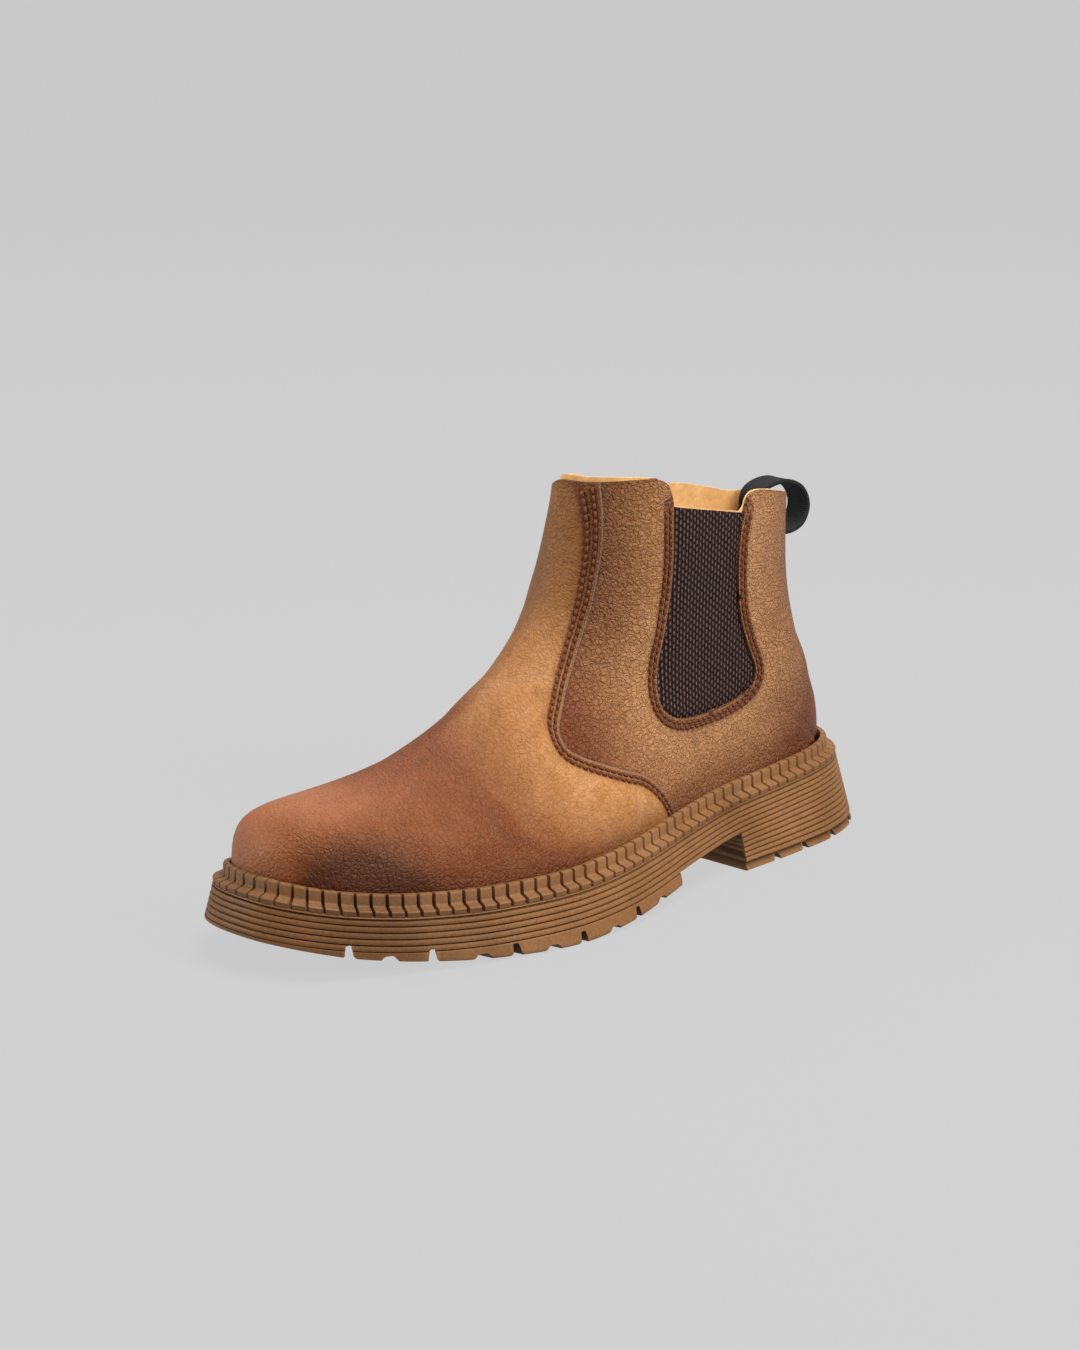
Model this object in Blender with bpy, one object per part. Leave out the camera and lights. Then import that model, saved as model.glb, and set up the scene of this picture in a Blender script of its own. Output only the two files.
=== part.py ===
"""A side gore work boot for the left foot, size EU 42.

X runs from the heel to the toe, Y to the outer (lateral) side, Z up. The pieces are worked out in the
last's own frame, with the back of the welt at x = 0, and are then moved together so that the middle of
the sole's floor box is the origin.
"""

import math
from collections import namedtuple

import bmesh
import bpy
import numpy as np

# Driving dimensions, in metres
LENGTH = 0.300  # the welt, from heel back to toe tip
BALL_WIDTH = 0.104  # the welt, across the ball
HEEL_SEAT = 0.0273  # floor to the top of the sole at the heel
COLLAR_HEIGHT = 0.158  # floor to the front of the collar
GAP = 0.0003  # between pieces that touch

UPPER_INSET = 0.0063  # from the edge of the welt in to the upper
WALL = 0.0029  # vamp leather and lining
VAMP_STEP = 0.0011  # how far the vamp lies proud of the quarters
WELT_RISE = 0.0084  # top of the welt above the sole
FEATHER = 0.0088  # height over which the upper stands straight behind the welt
FEATHER_BLEND = 0.030
BACK_ROUND = 0.034  # how far the heel takes to round off in plan
BACK_POWER = 2.2

RIB_COUNT = 5
RIB_PITCH = 0.00224
RIB_DEPTH = 0.0008
FLARE = 0.17  # how far the sole's side leans out, for each metre down
LIP = 0.0004
HEEL_RIBS = 6
HEEL_LENGTH = 0.087
TREAD_START = 0.119
LUG_HEIGHT = 0.0034
LUG_CHAMFER = 0.0012

TOOTH_PITCH = 0.0060
TOOTH_SHARE = 0.60
LOWER_RISER = 0.0032
LEDGE_INNER = 0.0039
LEDGE_DEPTH = 0.0036
TOOTH_CUT = 0.0009

INSOLE_THICKNESS = 0.003
GORE_SINK = 0.0004  # the elastic lies this far below the quarters
GORE_DIP = 0.002  # the elastic ends this far below the rim line beside it
STRIP_WIDTH = 0.012
STRIP_THICKNESS = 0.0012
STRIP_TOP = 0.1165
LOOP_WIDTH = 0.014
LOOP_THICKNESS = 0.0016

SOLE_SECTIONS = 30
WAIST_ROWS = (9.5, 10.5, 11.5, 12.5, 13.5)  # rows added between rings, where the welt curves inwards
SIDE_COLUMNS = 11  # points of a ring of the upper, from ridge to edge
MERGE = 1e-6

HALF_BALL = BALL_WIDTH / 2
UPPER_LENGTH = LENGTH - 2 * UPPER_INSET

# The edge of the welt seen from above: shares of LENGTH along it and of HALF_BALL to each side
TOE_TIP = -0.155
Station = namedtuple("Station", "along lateral medial")
OUTLINE = (
    Station(0.015, 0.290, 0.260),
    Station(0.050, 0.480, 0.440),
    Station(0.110, 0.605, 0.570),
    Station(0.200, 0.665, 0.635),
    Station(0.300, 0.700, 0.655),
    Station(0.400, 0.810, 0.685),
    Station(0.500, 0.940, 0.760),
    Station(0.580, 1.000, 0.855),
    Station(0.660, 0.980, 0.950),
    Station(0.740, 0.875, 1.000),
    Station(0.820, 0.720, 1.000),
    Station(0.890, 0.540, 0.945),
    Station(0.940, 0.375, 0.815),
    Station(0.975, 0.210, 0.615),
    Station(0.994, 0.030, 0.375),
)

# The sole seen from the side: its top and the floor under it as shares of HEEL_SEAT, and its side's depth
# as a share of the forefoot's
Level = namedtuple("Level", "along seat spring slab")
LEVELS = (
    Level(-0.10, 1.000, 0.00, 0.87),
    Level(0.00, 1.000, 0.00, 0.87),
    Level(0.10, 0.980, 0.00, 0.87),
    Level(0.27, 0.905, 0.00, 0.87),
    Level(0.40, 0.815, 0.00, 0.90),
    Level(0.55, 0.700, 0.00, 1.00),
    Level(0.65, 0.645, 0.00, 1.00),
    Level(0.75, 0.635, 0.04, 1.00),
    Level(0.85, 0.690, 0.15, 1.00),
    Level(0.92, 0.790, 0.27, 1.00),
    Level(1.00, 0.985, 0.45, 1.00),
    Level(1.10, 1.300, 0.70, 1.00),
)

# The upper's rings, toe to collar. Each lies in a plane from a point on the ridge to one on the feather
# line or, from heel height on, on the back seam. Along is a share of UPPER_LENGTH from the heel back, the
# heights and crown are shares of COLLAR_HEIGHT and the widths of HALF_BALL.
Ring = namedtuple("Ring", "ridge_along ridge_height base_along base_rise lateral medial ridge_side crown power")
RINGS = (
    Ring(1.0000, 0.253, 1.0000, 0.000, 0.000, 0.000, -0.155, 0.090, 2.3),
    Ring(0.9972, 0.272, 0.9965, 0.000, 0.150, 0.250, -0.155, 0.105, 2.3),
    Ring(0.9885, 0.295, 0.9860, 0.000, 0.260, 0.440, -0.155, 0.130, 2.3),
    Ring(0.9700, 0.320, 0.9650, 0.000, 0.380, 0.610, -0.155, 0.160, 2.3),
    Ring(0.9380, 0.345, 0.9300, 0.000, 0.510, 0.735, -0.153, 0.190, 2.2),
    Ring(0.8930, 0.367, 0.8820, 0.000, 0.640, 0.805, -0.145, 0.215, 2.1),
    Ring(0.8420, 0.388, 0.8250, 0.000, 0.760, 0.820, -0.135, 0.245, 2.0),
    Ring(0.7900, 0.411, 0.7640, 0.000, 0.845, 0.815, -0.122, 0.285, 1.90),
    Ring(0.7370, 0.440, 0.6960, 0.000, 0.890, 0.795, -0.110, 0.330, 1.80),
    Ring(0.6880, 0.474, 0.6200, 0.000, 0.905, 0.765, -0.103, 0.370, 1.75),
    Ring(0.6460, 0.511, 0.5360, 0.000, 0.880, 0.725, -0.096, 0.410, 1.75),
    Ring(0.6110, 0.547, 0.4450, 0.000, 0.805, 0.685, -0.088, 0.450, 1.75),
    Ring(0.5830, 0.584, 0.3510, 0.000, 0.730, 0.650, -0.080, 0.470, 1.78),
    Ring(0.5610, 0.619, 0.2570, 0.000, 0.675, 0.630, -0.073, 0.460, 1.82),
    Ring(0.5440, 0.652, 0.1660, 0.000, 0.640, 0.615, -0.065, 0.435, 1.86),
    Ring(0.5320, 0.682, 0.0890, 0.000, 0.618, 0.605, -0.057, 0.405, 1.90),
    Ring(0.5240, 0.708, 0.0340, 0.000, 0.606, 0.597, -0.050, 0.375, 1.90),
    Ring(0.5195, 0.727, 0.0090, 0.000, 0.600, 0.592, -0.045, 0.355, 1.90),
    Ring(0.5165, 0.742, 0.0000, 0.000, 0.597, 0.588, -0.041, 0.345, 1.90),
    Ring(0.5130, 0.763, 0.0000, 0.070, 0.592, 0.575, -0.035, 0.332, 1.90),
    Ring(0.5070, 0.801, 0.0190, 0.185, 0.586, 0.545, -0.025, 0.318, 1.92),
    Ring(0.5010, 0.851, 0.0510, 0.310, 0.580, 0.500, -0.013, 0.307, 2.00),
    Ring(0.4960, 0.908, 0.0830, 0.437, 0.583, 0.450, -0.004, 0.303, 2.08),
    Ring(0.4910, 0.968, 0.0950, 0.582, 0.588, 0.400, 0.000, 0.303, 2.14),
    Ring(0.4880, 1.050, 0.0935, 0.772, 0.596, 0.370, 0.000, 0.303, 2.20),
)

# Lines seen from the side, as shares of UPPER_LENGTH from the heel back and of COLLAR_HEIGHT
Mark = namedtuple("Mark", "along height")
VAMP_SEAM = (
    Mark(0.4755, 1.100),
    Mark(0.4725, 0.911),
    Mark(0.4780, 0.790),
    Mark(0.4930, 0.680),
    Mark(0.5170, 0.588),
    Mark(0.5520, 0.494),
    Mark(0.5745, 0.437),
    Mark(0.5740, 0.405),
    Mark(0.5560, 0.380),
    Mark(0.4930, 0.329),
    Mark(0.4580, 0.304),
    Mark(0.4300, 0.260),
    Mark(0.4030, 0.185),
    Mark(0.3850, 0.100),
)
QUARTER_RIM = (
    Mark(0.5600, 0.985),
    Mark(0.4850, 0.988),
    Mark(0.4200, 1.003),
    Mark(0.4020, 1.000),
    Mark(0.3900, 0.985),
    Mark(0.3835, 0.955),
)
GORE_FRONT = (
    Mark(0.3810, 0.930),
    Mark(0.3810, 0.750),
    Mark(0.3920, 0.620),
    Mark(0.4020, 0.540),
    Mark(0.4040, 0.480),
    Mark(0.3960, 0.435),
    Mark(0.3740, 0.408),
)
GORE_FOOT = (
    Mark(0.3380, 0.398),
    Mark(0.2900, 0.400),
    Mark(0.2450, 0.413),
)
GORE_REAR = (
    Mark(0.2180, 0.435),
    Mark(0.2120, 0.470),
    Mark(0.2290, 0.540),
    Mark(0.2460, 0.620),
    Mark(0.2540, 0.720),
    Mark(0.2530, 0.820),
    Mark(0.2450, 0.885),
)
TAB_RIM = (
    Mark(0.2420, 0.905),
    Mark(0.2340, 0.922),
    Mark(0.2180, 0.927),
    Mark(0.1500, 0.905),
    Mark(0.0400, 0.878),
)
GORE_TOP = (
    Mark(0.4200, 0.946),
    Mark(0.2000, 0.862),
)

# The pull loop seen from the side, its middle line as metres back from the upper's back at the rim and up
# from the rim there
Turn = namedtuple("Turn", "behind above")
LOOP_ROUTE = (
    Turn(-0.0055, -0.0200),
    Turn(-0.0055, -0.0100),
    Turn(-0.0053, 0.0000),
    Turn(-0.0025, 0.0036),
    Turn(0.0040, 0.0044),
    Turn(0.0120, 0.0020),
    Turn(0.0185, -0.0050),
    Turn(0.0200, -0.0130),
    Turn(0.0165, -0.0205),
    Turn(0.0095, -0.0228),
    Turn(0.0016, -0.0200),
)

# Channels cut across the tread: share of LENGTH, width at the floor, depth above the floor, and how far in
# from each edge they run (0 is right across)
Channel = namedtuple("Channel", "along width depth reach")
CHANNELS = (
    Channel(0.905, 0.0060, 0.0034, 0.0),
    Channel(0.855, 0.0050, 0.0016, 0.010),
    Channel(0.807, 0.0055, 0.0036, 0.0),
    Channel(0.758, 0.0050, 0.0018, 0.010),
    Channel(0.710, 0.0050, 0.0038, 0.0),
    Channel(0.662, 0.0050, 0.0018, 0.010),
    Channel(0.613, 0.0045, 0.0038, 0.0),
    Channel(0.565, 0.0045, 0.0018, 0.010),
    Channel(0.517, 0.0045, 0.0038, 0.0),
    Channel(0.469, 0.0045, 0.0018, 0.010),
    Channel(0.240, 0.0030, 0.0030, 0.0),
    Channel(0.173, 0.0030, 0.0030, 0.0),
    Channel(0.103, 0.0030, 0.0030, 0.0),
    Channel(0.035, 0.0030, 0.0030, 0.0),
)
CENTRE_CHANNEL_WIDTH = 0.005
CENTRE_CHANNEL_DEPTH = 0.0030
CENTRE_CHANNEL_FROM = 0.46  # shares of LENGTH
CENTRE_CHANNEL_TO = 0.86


def clear_scene():
    for obj in list(bpy.data.objects):
        bpy.data.objects.remove(obj, do_unlink=True)


# Curves and the outline of the sole


def smooth_curve(keys, values, at):
    """A cubic through the keys that never overshoots them."""
    keys = np.asarray(keys, float)
    values = np.asarray(values, float)
    at = np.clip(np.asarray(at, float), keys[0], keys[-1])
    span = np.diff(keys)
    rate = np.diff(values) / span
    slope = np.zeros(len(keys))
    slope[0], slope[-1] = rate[0], rate[-1]
    for i in range(1, len(keys) - 1):
        if rate[i - 1] * rate[i] > 0:
            before = 2 * span[i] + span[i - 1]
            after = span[i] + 2 * span[i - 1]
            slope[i] = (before + after) / (before / rate[i - 1] + after / rate[i])
    i = np.clip(np.searchsorted(keys, at) - 1, 0, len(span) - 1)
    t = (at - keys[i]) / span[i]
    start = (2 * t**3 - 3 * t**2 + 1) * values[i] + (t**3 - 2 * t**2 + t) * span[i] * slope[i]
    return start + (3 * t**2 - 2 * t**3) * values[i + 1] + (t**3 - t**2) * span[i] * slope[i + 1]


def curve_through(points, per_span, closed=False):
    """A centripetal Catmull-Rom curve, with per_span points from each point to the next."""
    points = np.asarray(points, float)
    if closed:
        padded = np.vstack([points[-1], points, points[0], points[1]])
    else:
        padded = np.vstack([2 * points[0] - points[1], points, 2 * points[-1] - points[-2]])
    pieces = []
    for i in range(1, len(padded) - 2):
        p = padded[i - 1 : i + 3]
        knot = np.concatenate([[0], np.cumsum(np.sqrt(np.linalg.norm(np.diff(p, axis=0), axis=1)))])
        t = np.linspace(knot[1], knot[2], per_span, endpoint=False)[:, None]
        a = [(knot[j + 1] - t) / (knot[j + 1] - knot[j]) * p[j] + (t - knot[j]) / (knot[j + 1] - knot[j]) * p[j + 1]
             for j in range(3)]
        b = [(knot[j + 2] - t) / (knot[j + 2] - knot[j]) * a[j] + (t - knot[j]) / (knot[j + 2] - knot[j]) * a[j + 1]
             for j in range(2)]
        pieces.append((knot[2] - t) / (knot[2] - knot[1]) * b[0] + (t - knot[1]) / (knot[2] - knot[1]) * b[1])
    if not closed:
        pieces.append(points[-1:])
    return np.vstack(pieces)


def smooth_step(low, high, value):
    t = np.clip((np.asarray(value, float) - low) / (high - low), 0, 1)
    return t * t * (3 - 2 * t)


def rounding(share, power):
    """0 at the edge of a rounded form, 1 from one full depth inside it."""
    return (1 - (1 - np.clip(share, 0, 1)) ** power) ** (1 / power)


def welt_loop(outset=0.0):
    """The edge of the welt seen from above, heel back first, round by the lateral side."""
    lateral = [(s.along * LENGTH, s.lateral * HALF_BALL) for s in OUTLINE]
    medial = [(s.along * LENGTH, -s.medial * HALF_BALL) for s in OUTLINE]
    corners = [(0, 0)] + lateral + [(LENGTH, TOE_TIP * HALF_BALL)] + medial[::-1]
    loop = curve_through(corners, 24, closed=True)
    run = np.roll(loop, -1, axis=0) - np.roll(loop, 1, axis=0)
    run /= np.linalg.norm(run, axis=1)[:, None]
    return loop + outset * np.column_stack([-run[:, 1], run[:, 0]])


def side_chains(loop):
    """The loop's lateral and medial chains, each from the heel back to the toe tip."""
    turned = np.roll(loop, -loop[:, 0].argmin(), axis=0)
    tip = turned[:, 0].argmax()
    return turned[: tip + 1], np.vstack([turned[:1], turned[tip:][::-1]])


def level(column, x):
    along = [row.along for row in LEVELS]
    return smooth_curve(along, [getattr(row, column) for row in LEVELS], np.asarray(x) / LENGTH)


def seat(x):
    """Height of the sole's top."""
    return HEEL_SEAT * level("seat", x)


def ground(x):
    """Height of the lugs' undersides: 0 but for the toe spring."""
    return HEEL_SEAT * level("spring", x)


def slab_depth(x):
    return RIB_COUNT * RIB_PITCH * level("slab", x)


# The upper's form


def ring_rows(per_span):
    """The ring table in metres, with per_span rows from each ring to the next."""
    unit = np.array([UPPER_LENGTH, COLLAR_HEIGHT, UPPER_LENGTH, COLLAR_HEIGHT,
                     HALF_BALL, HALF_BALL, HALF_BALL, COLLAR_HEIGHT, 1.0])
    table = np.array(RINGS) * unit
    table[:, [0, 2]] += UPPER_INSET
    index = np.arange(len(table))
    at = np.linspace(0, len(table) - 1, per_span * (len(table) - 1) + 1)
    at = np.unique(np.append(at, WAIST_ROWS))
    return np.column_stack([smooth_curve(index, column, at) for column in table.T])


def back_seam(z):
    """How far forward the back of the upper is at height z."""
    rings = [ring for ring in RINGS if ring.base_rise > 0]
    foot = float(seat(UPPER_INSET))
    heights = [0, foot] + [foot + ring.base_rise * COLLAR_HEIGHT for ring in rings]
    forward = [0, 0] + [ring.base_along * UPPER_LENGTH for ring in rings]
    return UPPER_INSET + smooth_curve(heights, forward, z)


def form(grow=0.0, per_span=1, columns=SIDE_COLUMNS):
    """Points [row, column] of the last's surface, lateral edge to ridge to medial edge, grown outwards."""
    chains = side_chains(welt_loop(-UPPER_INSET))
    share = np.linspace(0, 1, columns)
    rows = []
    for ridge_x, ridge_z, base_x, rise, lateral, medial, ridge_y, crown, power in ring_rows(per_span):
        base_z = float(seat(base_x)) + GAP + rise
        in_foot = smooth_step(UPPER_INSET, 0.5 * LENGTH, base_x) * (rise < GAP)
        along = in_foot * (1 - np.cos(share * math.pi / 2)) + (1 - in_foot) * (1 - np.cos(share * math.pi)) / 2
        if rise < MERGE:
            along *= (1 - FEATHER / (ridge_z - base_z)) / along[-2]
            along[-1] = 1
        x = ridge_x + (base_x - ridge_x) * along
        z = ridge_z + (base_z - ridge_z) * along
        over_ridge = rounding(along * math.hypot(base_x - ridge_x, base_z - ridge_z) / crown, power)
        seam = back_seam(z)
        round_back = rounding((x - seam) / BACK_ROUND, BACK_POWER)
        free = smooth_step(FEATHER, FEATHER + FEATHER_BLEND, z - seat(x))
        plan_x = x - (seam - UPPER_INSET) * (1 - smooth_step(0.07 * LENGTH, 0.27 * LENGTH, x))
        closed = ridge_x == base_x or base_x <= UPPER_INSET + 1e-9 or rise > 0
        ring = []
        for width, chain, sign in ((lateral, chains[0], 1), (medial, chains[1], -1)):
            plan = np.interp(plan_x, chain[:, 0], sign * chain[:, 1]) - sign * ridge_y
            half = ((1 - free) * plan + free * width * round_back) * over_ridge
            half = np.maximum(half, 0)
            if ridge_x == base_x:
                half[:] = 0
            if closed:
                half[-1] = 0
            ring.append(np.column_stack([x, ridge_y + sign * half, z]))
        rows.append(np.vstack([ring[0][::-1], ring[1][1:]]))
    points = np.array(rows)
    points += grow * form_normals(points)
    on_sole = ring_rows(per_span)[:, 3] < MERGE
    for end in (0, -1):
        points[on_sole, end, 2] = seat(points[on_sole, end, 0]) + GAP
    return points


def form_normals(points):
    """Outward normals. Where the two sides meet, at the toe tip and the back seam, they share one."""
    normals = np.cross(np.gradient(points, axis=0), np.gradient(points, axis=1))
    normals[0] = normals[1]
    meets = np.linalg.norm(points - points[:, ::-1], axis=2) < MERGE
    normals = np.where(meets[..., None], normals + normals[:, ::-1], normals)
    return normals / np.linalg.norm(normals, axis=2)[..., None]


# Meshes and objects


def material(name, colour, roughness):
    made = bpy.data.materials.new(name)
    made.use_nodes = True
    shader = made.node_tree.nodes["Principled BSDF"]
    shader.inputs["Base Color"].default_value = (*colour, 1.0)
    shader.inputs["Roughness"].default_value = roughness
    return made


def mesh_object(name, points, faces, finish=None):
    """A mesh with its doubled points merged. Without a finish it is a cutter or a guide, and stays hidden."""
    mesh = bpy.data.meshes.new(name)
    mesh.from_pydata([tuple(point) for point in points], [], [tuple(face) for face in faces])
    shape = bmesh.new()
    shape.from_mesh(mesh)
    bmesh.ops.remove_doubles(shape, verts=shape.verts, dist=MERGE)
    bmesh.ops.dissolve_degenerate(shape, edges=shape.edges, dist=MERGE)
    bmesh.ops.triangulate(shape, faces=shape.faces)
    bmesh.ops.recalc_face_normals(shape, faces=shape.faces)
    shape.to_mesh(mesh)
    shape.free()
    made = bpy.data.objects.new(name, mesh)
    bpy.context.scene.collection.objects.link(made)
    if finish is None:
        made.hide_render = True
        made.display_type = "WIRE"
    else:
        mesh.materials.append(finish)
    return made


def boolean(target, operation, tool):
    modifier = target.modifiers.new(tool.name, "BOOLEAN")
    modifier.operation = operation
    modifier.object = tool
    modifier.solver = "EXACT"


def grid_faces(rows, columns, first=0, flip=False):
    faces = []
    for i in range(rows - 1):
        for j in range(columns - 1):
            a = first + i * columns + j
            face = (a, a + columns, a + columns + 1, a + 1)
            faces.append(face[::-1] if flip else face)
    return faces


def shell(name, outer_grow, inner_grow, finish=None):
    """The space between two sizes of the last, open at the collar and along the feather line."""
    outer, inner = form(outer_grow), form(inner_grow)
    rows, columns = outer.shape[:2]
    count = rows * columns
    faces = grid_faces(rows, columns) + grid_faces(rows, columns, count, flip=True)
    top = (rows - 1) * columns
    for j in range(top, top + columns - 1):
        faces.append((j, count + j, count + j + 1, j + 1))
    seam = np.linalg.norm(outer[:, 0] - outer[:, -1], axis=1) < MERGE
    for i in range(rows - 1):
        if seam[i] and seam[i + 1]:
            continue
        a, b = i * columns, (i + 1) * columns
        faces.append((a, count + a, count + b, b))
        a, b = a + columns - 1, b + columns - 1
        faces.append((b, count + b, count + a, a))
    return mesh_object(name, np.vstack([outer.reshape(-1, 3), inner.reshape(-1, 3)]), faces, finish)


def side_points(marks):
    """Marks seen from the side as (x, z) points."""
    return [(UPPER_INSET + mark.along * UPPER_LENGTH, mark.height * COLLAR_HEIGHT) for mark in marks]


def side_prism(name, outline, near, far, finish=None):
    """An outline in X and Z, carried from Y near to Y far."""
    count = len(outline)
    area = sum(a[0] * b[1] - b[0] * a[1] for a, b in zip(outline, outline[1:] + outline[:1]))
    outline = outline if area > 0 else outline[::-1]
    points = [(x, y, z) for y in (near, far) for x, z in outline]
    faces = [tuple(range(count)), tuple(range(2 * count - 1, count - 1, -1))]
    faces += [((i + 1) % count, i, count + i, count + (i + 1) % count) for i in range(count)]
    return mesh_object(name, points, faces, finish)


# Sole


def edge_samples(places):
    """Lateral and medial points of the welt's edge with their outward directions, at places along X."""
    loop = welt_loop()
    chains = side_chains(np.hstack([loop, welt_loop(1.0) - loop]))
    found = []
    for chain in chains:
        columns = [np.interp(places, chain[:, 0], chain[:, j]) for j in (1, 2, 3)]
        outward = np.column_stack(columns[1:])
        outward /= np.linalg.norm(outward, axis=1)[:, None]
        found.append((np.column_stack([places, columns[0]]), outward))
    return found


def leaning(depth, inset=0.0):
    """How far out the sole's side is at this depth below its top."""
    return LIP + FLARE * depth - inset


def rib_levels(top, depth, count):
    """A ridge and a groove for each rib, as (outset, height) below a top, with the slab's own top as zero."""
    levels = []
    for rib in range(count):
        for share, inset in ((0.5, 0.0), (1.0, RIB_DEPTH)):
            levels.append((top - depth * (rib + share) / count, inset))
    return levels


def sole_levels(places, block):
    """(outset, height) of each level at these places, where block is heel, arch or tread."""
    top = seat(places)
    under = top - slab_depth(places)
    floor = ground(places)
    heights = [(top, 0.0)] + rib_levels(top, slab_depth(places), RIB_COUNT)
    if block == "heel":
        heights += rib_levels(under, under - LUG_HEIGHT, HEEL_RIBS)
    elif block == "tread":
        heights += 2 * HEEL_RIBS * [(under - RIB_PITCH / 4, 0.0)]
    if block == "arch":
        heights += (2 * HEEL_RIBS + 2) * [heights[-1]]
    else:
        heights += [(floor + LUG_CHAMFER, 0.0), (floor, LUG_CHAMFER)]
    return [(leaning(top - height, inset), height) for height, inset in heights]


def make_outsole(finish):
    """One body: the slab with its ribs, the heel block behind the arch and the tread ahead of it."""
    places = LENGTH * (1 - np.cos(np.linspace(0, math.pi, SOLE_SECTIONS + 1))) / 2
    near = LENGTH / SOLE_SECTIONS / 2
    heel = np.append(places[places < HEEL_LENGTH - near], HEEL_LENGTH)
    arch = np.linspace(HEEL_LENGTH, TREAD_START, 4)
    tread = np.insert(places[places > TREAD_START + near], 0, TREAD_START)
    sides = [[], []]
    for block, part in (("heel", heel), ("arch", arch), ("tread", tread)):
        levels = sole_levels(part, block)
        for side, (xy, outward) in zip(sides, edge_samples(part)):
            column = [np.column_stack([xy + outset[:, None] * outward, height]) for outset, height in levels]
            column = np.array(column)
            column[:, np.isin(part, (HEEL_LENGTH, TREAD_START)), 0] = xy[np.isin(part, (HEEL_LENGTH, TREAD_START)), 0]
            side.append(column)
    points = np.array([np.concatenate(side, axis=1) for side in sides])
    rows, count = points.shape[1:3]
    slab_end = 2 * RIB_COUNT

    def at(side, row, k):
        return (side * rows + row) * count + k

    faces = []
    walls = {len(heel) - 1, len(heel) + len(arch) - 1}
    for k in range(count - 1):
        faces.append((at(0, 0, k), at(1, 0, k), at(1, 0, k + 1), at(0, 0, k + 1)))
        if k in walls:
            deep = k if k < len(heel) else k + 1
            profile = [at(0, row, deep) for row in range(slab_end, rows)]
            faces.append(profile + [at(1, row, deep) for row in range(rows - 1, slab_end - 1, -1)])
            continue
        faces.append((at(0, rows - 1, k), at(0, rows - 1, k + 1), at(1, rows - 1, k + 1), at(1, rows - 1, k)))
        for side in (0, 1):
            for row in range(rows - 1):
                face = (at(side, row, k), at(side, row, k + 1), at(side, row + 1, k + 1), at(side, row + 1, k))
                faces.append(face)
    for row in range(rows - 1):
        faces.append((at(0, row, 0), at(1, row, 0), at(1, row + 1, 0), at(0, row + 1, 0)))
        end = count - 1
        faces.append((at(0, row, end), at(1, row, end), at(1, row + 1, end), at(0, row + 1, end)))
    sole = mesh_object("outsole", points.reshape(-1, 3), faces, finish)
    boolean(sole, "DIFFERENCE", make_channels())
    boolean(sole, "DIFFERENCE", make_centre_channel())
    return sole


def make_channels():
    """All the channels across the tread in one mesh, each a wedge that narrows upwards."""
    points, faces = [], []
    below, beyond = 0.004, BALL_WIDTH
    for channel in CHANNELS:
        x = channel.along * LENGTH
        floor = float(ground(x))
        edges = [side[0][0, 1] for side in edge_samples(np.array([x]))]
        spans = [(-beyond, beyond)]
        if channel.reach > 0:
            spans = [(edges[0] - channel.reach, beyond), (-beyond, edges[1] + channel.reach)]
        for near, far in spans:
            first = len(points)
            for y in (near, far):
                for half, z in ((channel.width, floor - below), (channel.width / 3, floor + channel.depth)):
                    points += [(x - half, y, z), (x + half, y, z)]
            corners = ((0, 1, 5, 4), (2, 6, 7, 3), (0, 2, 3, 1), (4, 5, 7, 6), (0, 4, 6, 2), (1, 3, 7, 5))
            faces += [tuple(first + c for c in corner) for corner in corners]
    return mesh_object("cross_channels", points, faces)


def make_centre_channel():
    places = np.linspace(CENTRE_CHANNEL_FROM, CENTRE_CHANNEL_TO, 7) * LENGTH
    half, below = CENTRE_CHANNEL_WIDTH / 2, 0.004
    points = []
    for x in places:
        floor = float(ground(x))
        points += [(x, half, floor - below), (x, half, floor + CENTRE_CHANNEL_DEPTH),
                   (x, -half, floor + CENTRE_CHANNEL_DEPTH), (x, -half, floor - below)]
    faces = [(3, 2, 1, 0)]
    for i in range(len(places) - 1):
        for j in range(4):
            a, b = 4 * i + j, 4 * i + (j + 1) % 4
            faces.append((a, b, b + 4, a + 4))
    last = 4 * (len(places) - 1)
    faces.append((last, last + 1, last + 2, last + 3))
    return mesh_object("centre_channel", points, faces)


# Welt


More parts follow.
